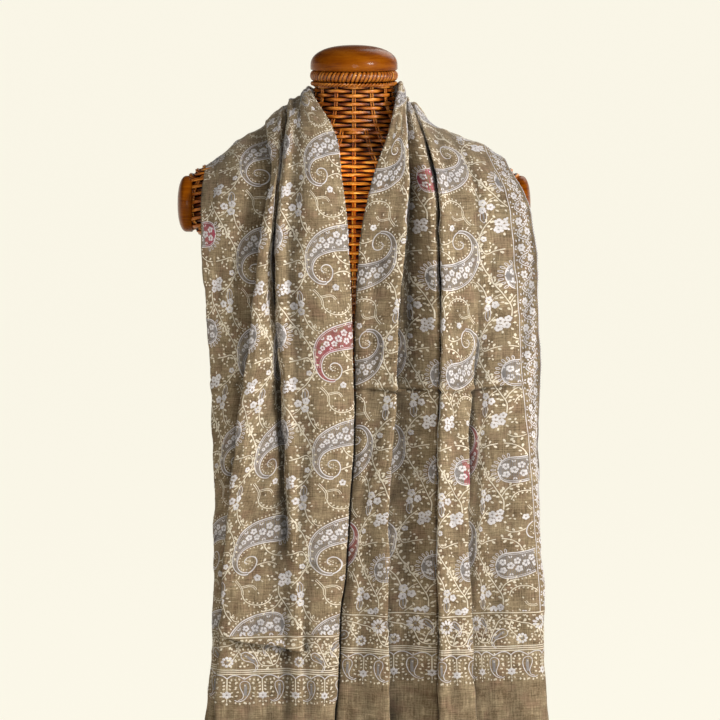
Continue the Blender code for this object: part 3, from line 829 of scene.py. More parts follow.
def hollows(points, normals):
    """How far each point of the sheet lies below the cloth beside it, in mm, for painted shade;
    painted shade along the storage creases and over the right fall's last panel is added to it.
    """
    depth = np.zeros(points.shape[:2])
    for row in range(ROWS):
        line = points[:, row]
        arc = distances(line)
        for reach in HOLLOW_REACHES:
            weight = np.exp(-((arc[:, None] - arc) / reach) ** 2 / 2) * np.gradient(arc)
            mean = weight @ line / weight.sum(axis=1)[:, None]
            depth[:, row] += ((mean - line) * normals[:, row]).sum(axis=-1) / MM
    # painted shade along each storage crease, and painted light just beside it
    inside = np.clip((SHEET_W.max(axis=0) - SHEET_W) / (40 * MM), 0, 1)
    for place, sharpness in STORAGE_CREASES:
        across = off_crease(SHEET_W, SHEET_S, place) / CREASE_LINE
        line = np.exp(-across**2) - 0.5 * np.exp(-((across + CREASE_LIP) ** 2))
        depth += CREASE_SHADE * sharpness * inside * line
    # painted shade over the right fall's last panel, and more over its side border
    right = np.clip((SHEET_S - NECK_TO + 80 * MM) / (100 * MM), 0, 1)
    for line, shade in PAINTED_SHADE_FROM:
        depth += shade * right * np.clip((SHEET_W - LINE_FLAT[line]) / (10 * MM), 0, 1)
    return depth


def seam_points():
    """The edge of the left fall that lies over the right one, along which a shadow is painted:
    shares of SEAM_Z and SEAM_X.
    """
    left = SHEET[:, SHEET_ROWS < CLOTH_LENGTH / 2]
    column = left[..., 0].argmax(axis=0)
    rows = np.arange(left.shape[1])
    place = left[column, rows]
    z = (place[:, 2] - SEAM_Z[0]) / (SEAM_Z[1] - SEAM_Z[0])
    x = (place[:, 0] + WALL / 2 - SEAM_X[0]) / (SEAM_X[1] - SEAM_X[0])
    shares = np.linspace(0, 1, SEAM_STEPS)
    front = place[:, 1] < 0
    return [(float(a), float(b)) for a, b in zip(shares, np.interp(shares, z[front], x[front]))]


def columns_beside(w, row):
    """The mesh column before each w in these rows, and how far w is on towards the next one."""
    column = np.searchsorted(SHEET_KEYS, w + row * ROW_KEY) - 1
    column = np.clip(column - row * COLUMNS, 0, COLUMNS - 2)
    before, after = SHEET_W[column, row], SHEET_W[column + 1, row]
    return column, (w - before) / (after - before)


def hollow_at(flat):
    """The hollow of the cloth at these flat places."""
    row = np.clip(np.searchsorted(SHEET_ROWS, flat[:, 1]), 0, ROWS - 1)
    column, t = columns_beside(flat[:, 0], row)
    t = np.clip(t, 0, 1)
    return SHEET_HOLLOWS[column, row] * (1 - t) + SHEET_HOLLOWS[column + 1, row] * t


def on_cloth(flat, lift):
    """Points at this flat place, lifted off the good side; flat is (n, 2) of w and s."""
    w, s = flat[:, 0], np.clip(flat[:, 1], 0, CLOTH_LENGTH - 1e-6)
    row = np.interp(s, SHEET_ROWS, np.arange(ROWS))
    low = np.minimum(row.astype(int), ROWS - 2)
    found = []
    for r in (low, low + 1):
        column, t = columns_beside(w, r)
        t = np.clip(t, -0.2, 1.2)[:, None]
        found.append([
            grid[column, r] * (1 - t) + grid[column + 1, r] * t for grid in (SHEET, SHEET_NORMALS)
        ])
    part = (row - low)[:, None]
    place, normal = (below * (1 - part) + above * part for below, above in zip(*found))
    return place + unit(normal) * (lift[:, None] + WALL / 2)


def cloth_piece():
    """The sheet as a closed thin wall: good side, wrong side, and the edges between them."""
    good = SHEET + SHEET_NORMALS * WALL / 2
    wrong = SHEET - SHEET_NORMALS * WALL / 2
    count = COLUMNS * ROWS
    points = np.concatenate([good.reshape(-1, 3), wrong.reshape(-1, 3)])
    quads = grid_faces(COLUMNS, ROWS)[:, ::NORMAL_SIGN]
    first = np.arange(ROWS)
    last = (COLUMNS - 1) * ROWS + np.arange(ROWS)
    low = np.arange(COLUMNS) * ROWS
    high = low + ROWS - 1
    edges = []
    for line, turn in ((first, 1), (last, -1), (low, -1), (high, 1)):
        strip = np.stack([line[:-1], line[1:], line[1:] + count, line[:-1] + count], -1)
        edges.append(strip[:, :: turn * NORMAL_SIGN])
    mesh = mesh_of("shawl", points, quads, quads[:, ::-1] + count, *edges)
    flat = np.stack([SHEET_W, SHEET_S, np.zeros_like(SHEET_W)], -1).reshape(-1, 3)
    flat_place(mesh, np.concatenate([flat, flat + (0.37, 0, 0)]))
    hollow_values(mesh, np.tile(SHEET_HOLLOWS.ravel(), 2))
    nodes = ("shawl_left_fall", "shawl_neck", "shawl_right_fall")
    return add_piece("shawl", mesh, cloth_material(), "pashmina_cloth", *nodes)


# ---------------------------------------------------------------- embroidery

def smooth_path(points, step=STITCH_STEP):
    """A smooth line through points (mm), resampled to even steps."""
    points = np.asarray(points, float)
    chord = distances(points)
    fine = smooth_through(chord, points, np.linspace(0, chord[-1], 12 * len(points)))
    run = distances(fine)
    count = max(2, int(round(run[-1] / step)) + 1)
    return part_way(np.linspace(0, run[-1], count), run, fine)


def sideways(points):
    """Unit vectors to the left of a line's direction."""
    along = np.gradient(points, axis=0)
    along /= np.maximum(np.linalg.norm(along, axis=1, keepdims=True), 1e-9)
    return np.stack([-along[:, 1], along[:, 0]], -1)


def turned_place(origin, angle):
    """A function that turns places (along, across) by an angle and moves them to an origin."""
    c, s = math.cos(angle), math.sin(angle)
    return lambda x, y: (origin[0] + c * x - s * y, origin[1] + s * x + c * y)


class Drawing:
    """Stitches in the plane: points (x, y, lift) in mm and triangles, for each thread."""

    def __init__(self):
        self.parts = {}

    def add(self, thread, points, faces):
        points_so_far, faces_so_far = self.parts.setdefault(thread, ([], []))
        base = sum(len(p) for p in points_so_far)
        points_so_far.append(np.asarray(points, float))
        faces_so_far.append(np.asarray(faces, int) + base)

    def merged(self, thread):
        points, faces = self.parts[thread]
        return np.concatenate(points), np.concatenate(faces)

    def line(self, path, thread="cream", width=THREAD, rise=THREAD_RISE, smooth=True, taper=0.0):
        """A raised line of stitches."""
        path = smooth_path(path) if smooth else np.asarray(path, float)
        side = sideways(path)
        count = len(path)
        half = np.full(count, width / 2)
        if taper:
            half *= 1 - taper * np.linspace(0, 1, count) ** 2
        left, right = path + side * half[:, None], path - side * half[:, None]
        low = np.full(count, SUNK)
        points = np.concatenate([
            np.column_stack([left, low]), np.column_stack([path, np.full(count, rise)]),
            np.column_stack([right, low]),
        ])
        i = np.arange(count - 1)
        faces = []
        for a, b in ((0, 1), (1, 2)):
            p, q = a * count + i, b * count + i
            faces += [np.stack([p, q, q + 1], -1), np.stack([p, q + 1, p + 1], -1)]
        self.add(thread, points, np.concatenate(faces)[:, ::-1])

    def leaf(self, base, angle, length, width, thread="cream", rise=0.5):
        """A drop of satin stitch from its base, rounder at the far end."""
        c, s = math.cos(angle), math.sin(angle)
        outline = [
            (base[0] + c * x * length - s * y * width,
             base[1] + s * x * length + c * y * width, SUNK)
            for x, y in LEAF
        ]
        middle = (base[0] + c * 0.6 * length, base[1] + s * 0.6 * length, rise)
        faces = [(i, (i + 1) % 6, 6) for i in range(6)]
        self.add(thread, outline + [middle], np.array(faces)[:, ::-1])

    def leaves(self, rows, *look, **more):
        """A leaf at each of these (x, y, angle)."""
        for x, y, angle in rows:
            self.leaf((x, y), angle, *look, **more)

    def tuft(self, centre, angles, off, *look, **more):
        """Leaves that point outwards, this far off a centre."""
        for angle in angles:
            base = (centre[0] + off * math.cos(angle), centre[1] + off * math.sin(angle))
            self.leaf(base, angle, *look, **more)

    def dot(self, centre, radius=0.8, thread="cream", rise=0.45):
        corners = [
            (centre[0] + radius * math.cos(a), centre[1] + radius * math.sin(a), SUNK)
            for a in np.linspace(0, 2 * np.pi, 6)[:-1]
        ]
        faces = [(i, 5, (i + 1) % 5) for i in range(5)]
        self.add(thread, corners + [(centre[0], centre[1], rise)], faces)

    def flower(self, centre, radius=3.9, turn=0.0, petals=5, thread="white"):
        """A round flower of satin petals with a grey eye."""
        angles = [turn + 2 * np.pi * petal / petals for petal in range(petals)]
        width = 2 * 0.67 * radius * math.tan(math.pi / petals)
        self.tuft(centre, angles, 0.08 * radius, 0.95 * radius, width, thread, 0.62)
        self.dot(centre, 0.15 * radius, "grey", 0.7)

    def sprig(self, path, spacing=8.0, length=4.9, width=2.8, first=2.8, leaves="cream", **line):
        """A stem with leaf drops on its two sides."""
        path = smooth_path(path)
        self.line(path, smooth=False, **line)
        run = distances(path)
        side = sideways(path)
        for step in range(int((run[-1] - 1 - first) / (spacing / 2)) + 1):
            at = first + step * spacing / 2
            normal = side[int(np.interp(at, run, np.arange(len(path))))]
            sign = 1 if step % 2 else -1
            out = normal * sign + np.array((normal[1], -normal[0])) * 0.8
            base = part_way(at, run, path) + normal * sign * 1.0
            self.leaf(base, math.atan2(out[1], out[0]), length, width, leaves)

    def loops(self, centre, radii, start, end, count, length=5.2, width=2.1):
        """Long open loops round part of an oval, pointing outwards."""
        for angle in np.linspace(start, end, count):
            c, s = math.cos(angle), math.sin(angle)
            base = np.array((centre[0] + radii[0] * c, centre[1] + radii[1] * s))
            out, cross = np.array((c, s)), np.array((-s, c))
            path = [
                base + cross * 0.35, base + out * 0.55 * length + cross * width / 2,
                base + out * length, base + out * 0.55 * length - cross * width / 2,
                base - cross * 0.35,
            ]
            self.line(smooth_path(path, 1.3), "white", 0.75, 0.35, smooth=False)


# spine of the paisley from its head to the end of its curl: x, y, half width
PAISLEY_SPINE = (
    (40, 41, 0.6), (39, 41, 6), (36.5, 41, 10.8), (32, 41, 13.8), (25, 40.5, 14.6),
    (17, 39.5, 14.2), (9, 37.5, 13.5), (1, 34, 12.4), (-6, 29, 10.6), (-11, 22.5, 8.2),
    (-14, 15, 5.6), (-15.2, 7, 3.9), (-14.2, 0, 2.9), (-10.8, -6, 2.2), (-5, -10.4, 1.6),
    (1.5, -11.4, 1.3), (7, -8.6, 1.2),
    (10.4, -3, 1.1), (10.6, 3.2, 1.0), (7.4, 7.8, 0.9), (2.2, 8.6, 0.8), (-1.8, 5.4, 0.7),
    (-1.4, 1.2, 0.5), (1.8, 0.2, 0.3),
)


# flowers inside it: place along the spine, off the spine, radius
PAISLEY_FLOWERS = (
    (7.5, 4.6, 4.0), (8, -4.8, 4.0), (15.5, 0, 4.4), (22.8, 4.8, 4.1), (23.6, -4.6, 4.2),
    (31, 0.2, 4.4), (38.3, 4.0, 3.7), (39.3, -3.9, 3.8), (46, 0, 3.8), (53, 0.2, 3.2), (59, 0, 2.3),
)


def paisley(drawing, rose):
    """One large paisley: ribbed fill, double outline, flowers inside, ticks and loops outside."""
    spine = smooth_path(PAISLEY_SPINE, 1.6)
    middle, half = spine[:, :2], np.maximum(spine[:, 2], 0.25)
    side = sideways(middle)
    body = np.nonzero(half > 1.25)[0]
    last = body[-1]
    run = distances(middle)
    # ribs of the satin fill, across the spine
    for index in body:
        fill = "rose" if rose and rose[0] <= run[index] <= rose[1] else "grey"
        reach = half[index] - 0.5
        steps = 4 if reach > 5 else 2
        centre = middle[index] + side[index] * np.linspace(-reach, reach, steps + 1)[:, None]
        along = np.array((side[index][1], -side[index][0])) * 0.42
        points = np.concatenate([
            np.column_stack([centre - along, np.full(steps + 1, 0.04)]),
            np.column_stack([centre + along, np.full(steps + 1, 0.20)]),
        ])
        i = np.arange(steps)
        n = steps + 1
        faces = np.concatenate([
            np.stack([i, i + 1, i + n + 1], -1), np.stack([i, i + n + 1, i + n], -1)
        ])
        drawing.add(fill, points, faces)
    outer, inner = middle - side * half[:, None], middle + side * half[:, None]
    for edge in (outer, inner):
        drawing.line(edge[: last + 1], "white", 1.35, smooth=False)
    drawing.line(middle[last:], "white", 1.5, smooth=False, taper=0.4)
    # a second, thinner outline inside the first
    inset = np.maximum(half - 1.9, 0)[:, None]
    for sign in (-1, 1):
        drawing.line((middle + sign * side * inset)[half > 3.2], "white", 0.75, 0.36, smooth=False)
    # flowers and leaves along the body
    for at, off, radius in PAISLEY_FLOWERS:
        centre = part_way(at, run, middle) + part_way(at, run, side) * off
        drawing.flower(centre, radius, turn=at * 0.7)
    for at in (3.5, 15.5, 31, 45.5):
        place, across = part_way(at, run, middle), part_way(at, run, side)
        wide = np.interp(at, run, half)
        for sign in (1, -1):
            base = place + across * sign * max(wide - 6.4, 0.6)
            tilt = math.atan2(across[1] * sign, across[0] * sign)
            for lean in (-0.55, 0.55):
                drawing.leaf(base, tilt + lean, 4.0, 1.8, "white", 0.55)
    # drops outside, and short ones inside the curl
    for edge, way, start, before_end, spacing, off, length, width in (
        (outer, -1, 20, 2, 3.8, 1.5, 2.7, 1.8), (inner, 1, 30, 3, 4.2, 1.4, 2.4, 1.6),
    ):
        along = distances(edge)
        for at in np.arange(start, along[last] - before_end, spacing):
            out = way * side[int(np.interp(at, along, np.arange(len(edge))))]
            base = part_way(at, along, edge) + out * off
            drawing.leaf(base, math.atan2(out[1], out[0]), length, width)
    for angle in (-2.6 + step * 0.62 for step in range(9)):
        drawing.dot((0.6 + 6.3 * math.cos(angle), -1.2 + 6.0 * math.sin(angle)))
    drawing.tuft((1.6, 1.6), [0.4 + step * 1.2566 for step in range(5)], 1.0, 2.2, 1.2)
    # loops round the head
    drawing.loops((27, 41), (14.6, 15.4), -1.35, 0.75, 9)


def pod(drawing, top, angle, length=17, width=6.4):
    """A slim seed pod of two outlines with a grey middle, and a tip of three leaves."""
    at = turned_place(top, angle)
    w = width / 2
    left = [at(0, 0.4), at(length * 0.22, w), at(length * 0.6, w * 0.9), at(length, 0)]
    right = [at(0, 0.4), at(length * 0.25, -w * 0.7), at(length * 0.65, -w * 0.9), at(length, 0)]
    for edge in (left, right):
        drawing.line(edge, "white", 0.9)
    fill = [at(length * 0.2, 0.2), at(length * 0.5, 0), at(length * 0.82, 0)]
    drawing.line(fill, "grey", 2.0, 0.3)
    for turn in (-0.7, 0.0, 0.7):
        drawing.leaf(at(length + 0.8, 0), angle + turn, 3.0, 1.3)


def hook_branch(drawing):
    """A forked stem with a curled double hook, below the paisley's curl."""
    for path, half, width in (
        ([(-12.5, -19), (-7.5, -24), (-4, -29.5), (-3.4, -36)], 0.95, 0.9),
        ([(-5, -27.5), (-0.5, -26.3), (4, -25.4), (8.5, -26.6), (11, -30.2)], 0.85, 0.85),
    ):
        path = smooth_path(path)
        for off in (half, -half):
            drawing.line(path + sideways(path) * off, smooth=False, width=width)
    branch = [(-3.4, -36), (-1.5, -41.5), (3.5, -46), (10.5, -48), (18, -47), (24, -43), (27, -37)]
    drawing.sprig(branch, 5.0, 3.0, 1.9)
    drawing.leaves((
        (-11.5, -23.5, 3.9), (-9, -27, 3.7), (-14.2, -20.5, 2.7), (-9.5, -17.5, 0.7),
        (12.4, -32.4, -1.1), (3.4, -30.4, -1.5), (6.6, -22.6, 1.2), (28, -33.6, 1.4),
    ), 3.0, 1.7)


def vine(drawing):
    """The stem between two columns of paisleys, with its branches and flowers."""
    drawing.sprig([(33.5, -26), (34, -36), (40, -47), (47.5, -60), (55.5, -72), (62.5, -84),
                   (66.5, -96), (66.8, -106), (64, -118), (57.5, -129.5), (48.5, -138)])
    drawing.sprig([(57.5, -75.5), (53.5, -72), (50, -62.5), (44, -66.5)])
    drawing.sprig([(65.6, -108), (60, -98.5), (50, -101), (40.5, -103)])
    drawing.sprig([(36, -41), (30.5, -50), (24, -54.5), (17, -56)])
    # three flowers on a short stem, among leaves
    drawing.line([(44, -51), (50, -47), (53.5, -42)], width=0.9)
    for x, y, radius in ((49.5, -39, 4.5), (57, -45, 4.6), (58, -36, 4.2)):
        drawing.flower((x, y), radius, turn=x)
    drawing.leaves((
        (50, -45.5, 3.5), (53.5, -47.5, 4.4), (62, -48.5, -0.5), (62, -41, 0.1),
        (61, -32.6, 0.9), (54, -32.5, 1.8), (46, -35.5, 2.5), (45, -41.5, 3.2),
    ), 4.2, 2.3, rise=0.55)
    # four flowers at the head of the stem
    for x, y, radius in (
        (37.5, -15.5, 4.2), (44.5, -12.5, 4.4), (43.5, -20.5, 4.4), (36.5, -23, 3.8),
    ):
        drawing.flower((x, y), radius, turn=y)
    drawing.leaves((
        (49, -14.5, 0.4), (48, -20.5, -0.3), (46, -25.5, -1.0), (40.5, -9.5, 1.6),
        (33.5, -12.5, 2.4), (32.4, -18.5, 3.1), (31.8, -25, 3.7),
    ), 4.2, 2.3, rise=0.55)
    drawing.flower((60.5, -115.5), 3.4)


def field_repeat(rose):
    """One repeat of the field, its origin at the middle of the paisley's curl."""
    drawing = Drawing()
    paisley(drawing, rose)
    hook_branch(drawing)
    vine(drawing)
    # sprigs under the body and out of the curl
    drawing.sprig([(13, 24), (18, 16), (26, 10.6), (35, 8.8)])
    drawing.sprig([(11.6, -2), (18, 0.8), (26, 1.4), (31.5, -1.6)])
    # a small feather on the back, a stalk on the curl
    drawing.line([(-9, 45), (-14, 46.5), (-17.5, 51), (-18.5, 55.5)], width=0.85)
    drawing.leaves(((-11, 47, 1.3), (-14, 48, 1.5), (-16.5, 50.5, 0.9)), 4.2, 1.3)
    drawing.line([(-18.5, -3), (-23, -7), (-29, -10.5)], width=0.9)
    drawing.line([(-20.5, -6.6), (-24, -9.2), (-28.6, -11.8)], width=0.8)
    # the flower under the curl
    drawing.flower((12.5, -16.5), 3.9, turn=0.4)
    drawing.leaf((16, -19), -0.8, 3.4, 1.6)
    drawing.leaf((9.2, -18.5), 3.6, 2.8, 1.4)
    # a pod, and its stem down to the next paisley's back
    pod(drawing, (-29, -21), -1.52)
    drawing.sprig([(-27.5, -41.5), (-26, -50), (-22, -60), (-16.5, -67)])
    drawing.leaf((-21, -45), 0.4, 3.6, 1.6)
    # small trefoils in the open ground
    for x, y in ((25, -16), (-21.5, 30), (50, 23), (53, 4)):
        drawing.tuft((x, y), np.add((0.5, 2.6, 4.7), x), 0.7, 3.3, 2.1)
    return drawing


def rosette(drawing, centre, radius, petals):
    """A large flower of separate petals round an open middle."""
    angles = [2 * np.pi * petal / petals for petal in range(petals)]
    drawing.tuft(centre, angles, 2.4, radius - 2.4, 3.5, "white", 0.6)
    drawing.dot(centre, 1.5, "grey", 0.5)


def small_paisley(drawing, centre, turn, size, mirror=1):
    """A small bent paisley with a grey middle and drops round it."""
    turned = turned_place(centre, turn)

    def at(x, y):
        return turned(x * size * mirror, y * size)

    for look, *path in (
        (("white", 1.0), (0.5, 9.5), (-3.2, 8), (-4.8, 3.5), (-4.2, -2), (-2, -7), (1.5, -11),
         (6, -12.6), (9, -11)),
        (("white", 0.9), (0.5, 9.5), (3.6, 7.6), (4.2, 3.2), (2.6, -1.5), (1.4, -6), (2.6, -9.6),
         (6, -11.2)),
        (("grey", 3.2 * size, 0.3), (-0.4, 6.5), (-0.6, 2), (-0.4, -2.5), (-0.2, -6)),
    ):
        drawing.line([at(*place) for place in path], *look)
    drawing.dot(at(-0.3, 4.5), 1.1 * size, rise=0.6)
    for x, y, angle in (
        (-6, 6.5, 2.6), (-6.9, 2, 3.1), (-6.2, -3, 3.5), (-4, -8, 3.9), (0, -12.8, 4.4),
        (5.6, 7, 0.5), (6.2, 2.5, 0.1), (4.8, -2, -0.3), (0.5, 11.4, 1.57), (-3.6, 10, 2.2),
        (4.2, 10, 1.0),
    ):
        heading = angle if mirror > 0 else math.pi - angle
        drawing.leaf(at(x, y), heading + turn, 2.9 * size, 1.9 * size)


def arcade_repeat():
    """Lower band: round arches on stems, a flower at each foot, a small paisley in each arch."""
    drawing = Drawing()
    low, top, _ = BORDER_LINES
    arch = (
        (0, 8), (4, 4.6), (9, 4), (14, 6.2), (17.5, 8.5), (21, 6.2), (26, 4), (31, 4.6), (35, 8),
    )
    for part in (arch[:5], arch[4:]):
        drawing.line([(x, top - below) for x, below in part], "white")
    drawing.line([(0, top - 8), (0, top - 14), (0, low + 13.5)])
    drawing.leaves([
        (x, top - below, angle)
        for below in (11.5, 15.5, 19.5) for x, angle in ((-1.2, -2.5), (1.2, -0.64))
    ], 3.4, 2.1)
    # flower at the foot
    drawing.flower((0, low + 10.5), 4.6, turn=1.57, petals=6)
    drawing.tuft((0, low + 10.5), (-0.35, 0.55, 2.6, 3.5), 3.6, 3.2, 2.0)
    drawing.line([(0, low + 9), (0, low + 5), (0, low + 2)], width=0.8)
    drawing.leaves(
        ((-1.6, low + 4.6, -2.4), (1.6, low + 4.6, -0.7), (0, low + 1.4, -1.57)), 3.4, 2.2)
    small_paisley(drawing, (17.5, low + 17.0), 0, 1.12)
    drawing.leaves([
        (x, low + 3.4 - 0.25 * abs(x - 17.5) % 2, -1.57) for x in (9.0, 13.2, 18.4, 22.8, 26.6)
    ], 3.1, 2.1)
    # drops under the arch
    drawing.leaves([
        (x, top - 6.4 - 0.1 * abs(x - 17.5), -1.57) for x in (4.2, 8.2, 12.4, 22.6, 26.8, 30.8)
    ], 3.2, 2.2)
    drawing.leaves((
        (7.2, low + 16.5, 0.9), (27.8, low + 16.5, 2.2), (8.4, low + 23, 1.4),
        (26.6, low + 23, 1.7), (7.4, low + 9, 0.3), (27.6, low + 9, 2.8),
    ), 3.4, 2.1)
    return drawing


def band_repeat():
    """Upper band: a wavy stem with rosettes, leaning small paisleys and trefoils."""
    drawing = Drawing()
    low, top = BORDER_LINES[1] + 2, BORDER_LINES[2]
    middle = (low + top) / 2
    drawing.sprig([(0, middle + 7), (9, middle + 1), (18, low + 6), (30, low + 5.5), (38, middle),
                   (46, top - 8), (58, top - 9), (67, top - 12), (74, middle + 7)])
    drawing.sprig([(20, low + 6), (25, middle - 1), (30, middle + 5), (31, top - 8)])
    drawing.sprig([(56, top - 9), (54, middle + 2), (58, middle - 4), (66, low + 5)])
    rosette(drawing, (12, middle + 7.5), 9.5, 11)
    rosette(drawing, (66, low + 9.5), 6.5, 9)
    small_paisley(drawing, (43, low + 13), -0.9, 1.05)
    small_paisley(drawing, (24, top - 12.5), 0.7, 0.8, -1)
    for centre in ((36, top - 8.5), (50.5, low + 6), (3, low + 8.5), (72, top - 7)):
        drawing.tuft(centre, (1.57, 3.67, -0.52), 0.6, 3.4, 2.4, rise=0.6)
    # hanging flower drops under the top line
    for x in np.arange(4.6, BAND, 9.25):
        drawing.tuft((x, top - 2.2), (-1.57, -2.5, -0.64), 0, 2.4, 1.5)
    for x, y in (
        (30.5, low + 15), (36, low + 22), (54, top - 15), (61.5, middle + 2), (5, low + 14.5),
        (19.5, middle - 4), (48, top - 4.5), (62.5, top - 6), (31, low + 27), (12, low + 4.5),
    ):
        drawing.tuft((x, y), np.add((0.4, 2.5, 4.6), x), 0.6, 3.0, 2.0)
    return drawing


def side_repeat():
    """Border along the selvage: a zigzag stem with a flower in each bend; x is out, y along."""
    drawing = Drawing()
    drawing.sprig([(6, 0), (10, 4), (18, 8), (22, 14), (18, 21), (10, 25), (6, 31)], 4.0, 4.0, 2.2,
                  leaves="white", thread="white")
    drawing.flower((10, 15.5), 4.9, petals=6)
    drawing.flower((20.5, 28.5), 4.6, turn=0.4, petals=6)
    for branch in ([(18, 8), (22, 3), (25.5, 0.5)], [(10, 25), (13, 29)]):
        drawing.sprig(branch, 3.6, 3.4, 2.0, leaves="grey", thread="white")
    for x, y, angle in ((3.4, 5, 1.2), (3.2, 21, 1.7), (14, 1, 0.7), (26.5, 11, 1.5), (26, 19, 1.3),
                        (14.5, 12.5, -0.4), (14, 18.5, 0.5), (5.2, 12.5, 2.6), (4.6, 17.5, 3.6)):
        drawing.leaf((x, y), angle, 3.8, 2.0, thread="grey" if x > 14 else "white")
    edge = SIDE_BORDER - 1.6
    drawing.leaves([(edge, y, 0.3) for y in np.arange(1.5, SIDE_REPEAT, 3.1)], 2.4, 1.5, "white")
    return drawing


class Embroidery:
    """Lays drawings on the cloth: keeps flat places and lifts in metres, for each thread."""

    def __init__(self):
        self.parts = {}

    def lay(self, thread, w, s, points, faces, keep=None):
        """Adds points at these flat places, with the lifts of the drawing's points."""
        if keep is not None:
            faces = faces[keep[faces].all(axis=1)]
        if len(faces):
            used, faces = np.unique(faces, return_inverse=True)
            points = np.column_stack([w, s, points[:, 2] * MM])[used]
            self.parts.setdefault(thread, []).append((points, faces.reshape(-1, 3)))

    def rule(self, w, s, *look):
        """One straight line of stitches through these flat places."""
        line = Drawing()
        line.line(np.column_stack([w, s]) / MM, *look, smooth=False)
        for thread in line.parts:
            points, faces = line.merged(thread)
            self.lay(thread, *(points[:, :2] * MM).T, points, faces[:, ::-1])

    def collected(self, thread):
        points, faces, base = [], [], 0
        for some, corners in self.parts[thread]:
            points.append(some)
            faces.append(corners + base)
            base += len(some)
        return np.concatenate(points), np.concatenate(faces)


def flat_edge(line, s):
    """Flat w of one fold line of the outer layer at distances s, in metres."""
    return np.interp(s, SHEET_ROWS, LINE_FLAT[line])


def field_work(work):
    """Repeats of the field between the end borders, out to the side border."""
    repeats = {rose: field_repeat(rose) for rose in (None, *ROSE_CELLS.values())}
    threads = {key: {t: d.merged(t) for t in d.parts} for key, d in repeats.items()}
    margin = 1.2 * MM
    low = BORDER_LINES[2] * MM + margin
    # hand work: nothing repeats exactly
    hand = Ripples(np.random.default_rng(HAND_SEED), *HAND)
    for row in FIELD_ROWS:
        for column in FIELD_COLUMNS:
            rose = ROSE_CELLS.get((column, row))
            for thread, (points, faces) in threads[rose].items():
                w = (FIRST_CIRCLE[0] + column * REPEAT[0] - points[:, 0]) * MM
                s = (FIRST_CIRCLE[1] + row * REPEAT[1] + points[:, 1]) * MM
                w, s = w + hand(w, s) * MM, s + hand(s, w) * MM
                keep = (s > low) & (s < CLOTH_LENGTH - low)
                keep &= w < flat_edge(SIDE_FOLD, s) - margin
                keep &= w > flat_edge(0, s) - EMBROIDERED_UNDER * MM
                work.lay(thread, w, s, points, faces, keep)


def end_work(work):
    """The border at each end: lines, the upper band and the arcade."""
    bands = ((band_repeat(), BAND), (arcade_repeat(), ARCADE))
    near, middle, far = BORDER_LINES
    for end in (0, 1):
        for drawing, repeat in bands:
            for thread in drawing.parts:
                points, faces = drawing.merged(thread)
                for step in range(-3, int(BAND_REACH / repeat) + 1):
                    w = (points[:, 0] + step * repeat) * MM
                    s = points[:, 1] * MM
                    if end:
                        s = CLOTH_LENGTH - s
                    keep = w < flat_edge(SELVAGE, s) - 1.5 * MM
                    keep &= w > flat_edge(0, s) - EMBROIDERED_UNDER * MM
                    work.lay(thread, w, s, points, faces[:, ::-1] if end else faces, keep)
        for distance in (far, middle, *(middle + off for off in DOUBLED)):
            s = distance * MM if not end else CLOTH_LENGTH - distance * MM
            start = float(flat_edge(0, s)) / MM - EMBROIDERED_UNDER
            stop = float(flat_edge(SELVAGE, s)) / MM - 1
            count = int((stop - start) / RULE_STEP)
            work.rule(np.linspace(start, stop, count) * MM, np.full(count, s))


def side_work(work):
    """The border along the outer layer's selvage, between the two end borders."""
    drawing = side_repeat()
    low, high = BORDER_LINES[2] * MM, CLOTH_LENGTH - BORDER_LINES[2] * MM
    for thread in drawing.parts:
        points, faces = drawing.merged(thread)
        for step in range(int((high - low) / MM / SIDE_REPEAT)):
            s = low + (points[:, 1] + (step + 0.2) * SIDE_REPEAT) * MM
            near, far = flat_edge(SIDE_FOLD, s), flat_edge(SELVAGE, s)
            w = near + (far - near) * points[:, 0] / SIDE_BORDER
            work.lay(thread, w, s, points, faces[:, ::-1], (s > low) & (s < high))
    s = np.arange(low, high, RULE_STEP * MM)
    near, far = flat_edge(SIDE_FOLD, s), flat_edge(SELVAGE, s)
    for share in SIDE_LINES:
        work.rule(near + (far - near) * share, s, "white", 0.9)


def embroidery_pieces():
    """The embroidery as pieces of one thread each, laid on the cloth."""
    work = Embroidery()
    field_work(work)
    end_work(work)
    side_work(work)
    pieces = []
    for thread, slot, *look in THREADS:
        material = thread_material(*look)
        points, faces = work.collected(thread)
        parts = 1 + len(faces) // MOST_FACES
        middle = points[faces[:, 0], 1]
        edges = np.quantile(middle, np.linspace(0, 1, parts + 1))
        edges[-1] = np.inf
        for part in range(parts):
            chosen = (middle >= edges[part]) & (middle < edges[part + 1])
            used, corners = np.unique(faces[chosen], return_inverse=True)
            flat = points[used]
            name = f"embroidery_{thread}" + (f"_{part + 1}" if parts > 1 else "")
            mesh = mesh_of(name, on_cloth(flat[:, :2], flat[:, 2]), corners.reshape(-1, 3))
            flat_place(mesh, np.column_stack([flat[:, :2], np.zeros(len(flat))]))
            hollow_values(mesh, hollow_at(flat))
            pieces.append(add_piece(name, mesh, material, slot, smooth=False))
    return pieces


# ---------------------------------------------------------------- the dress form

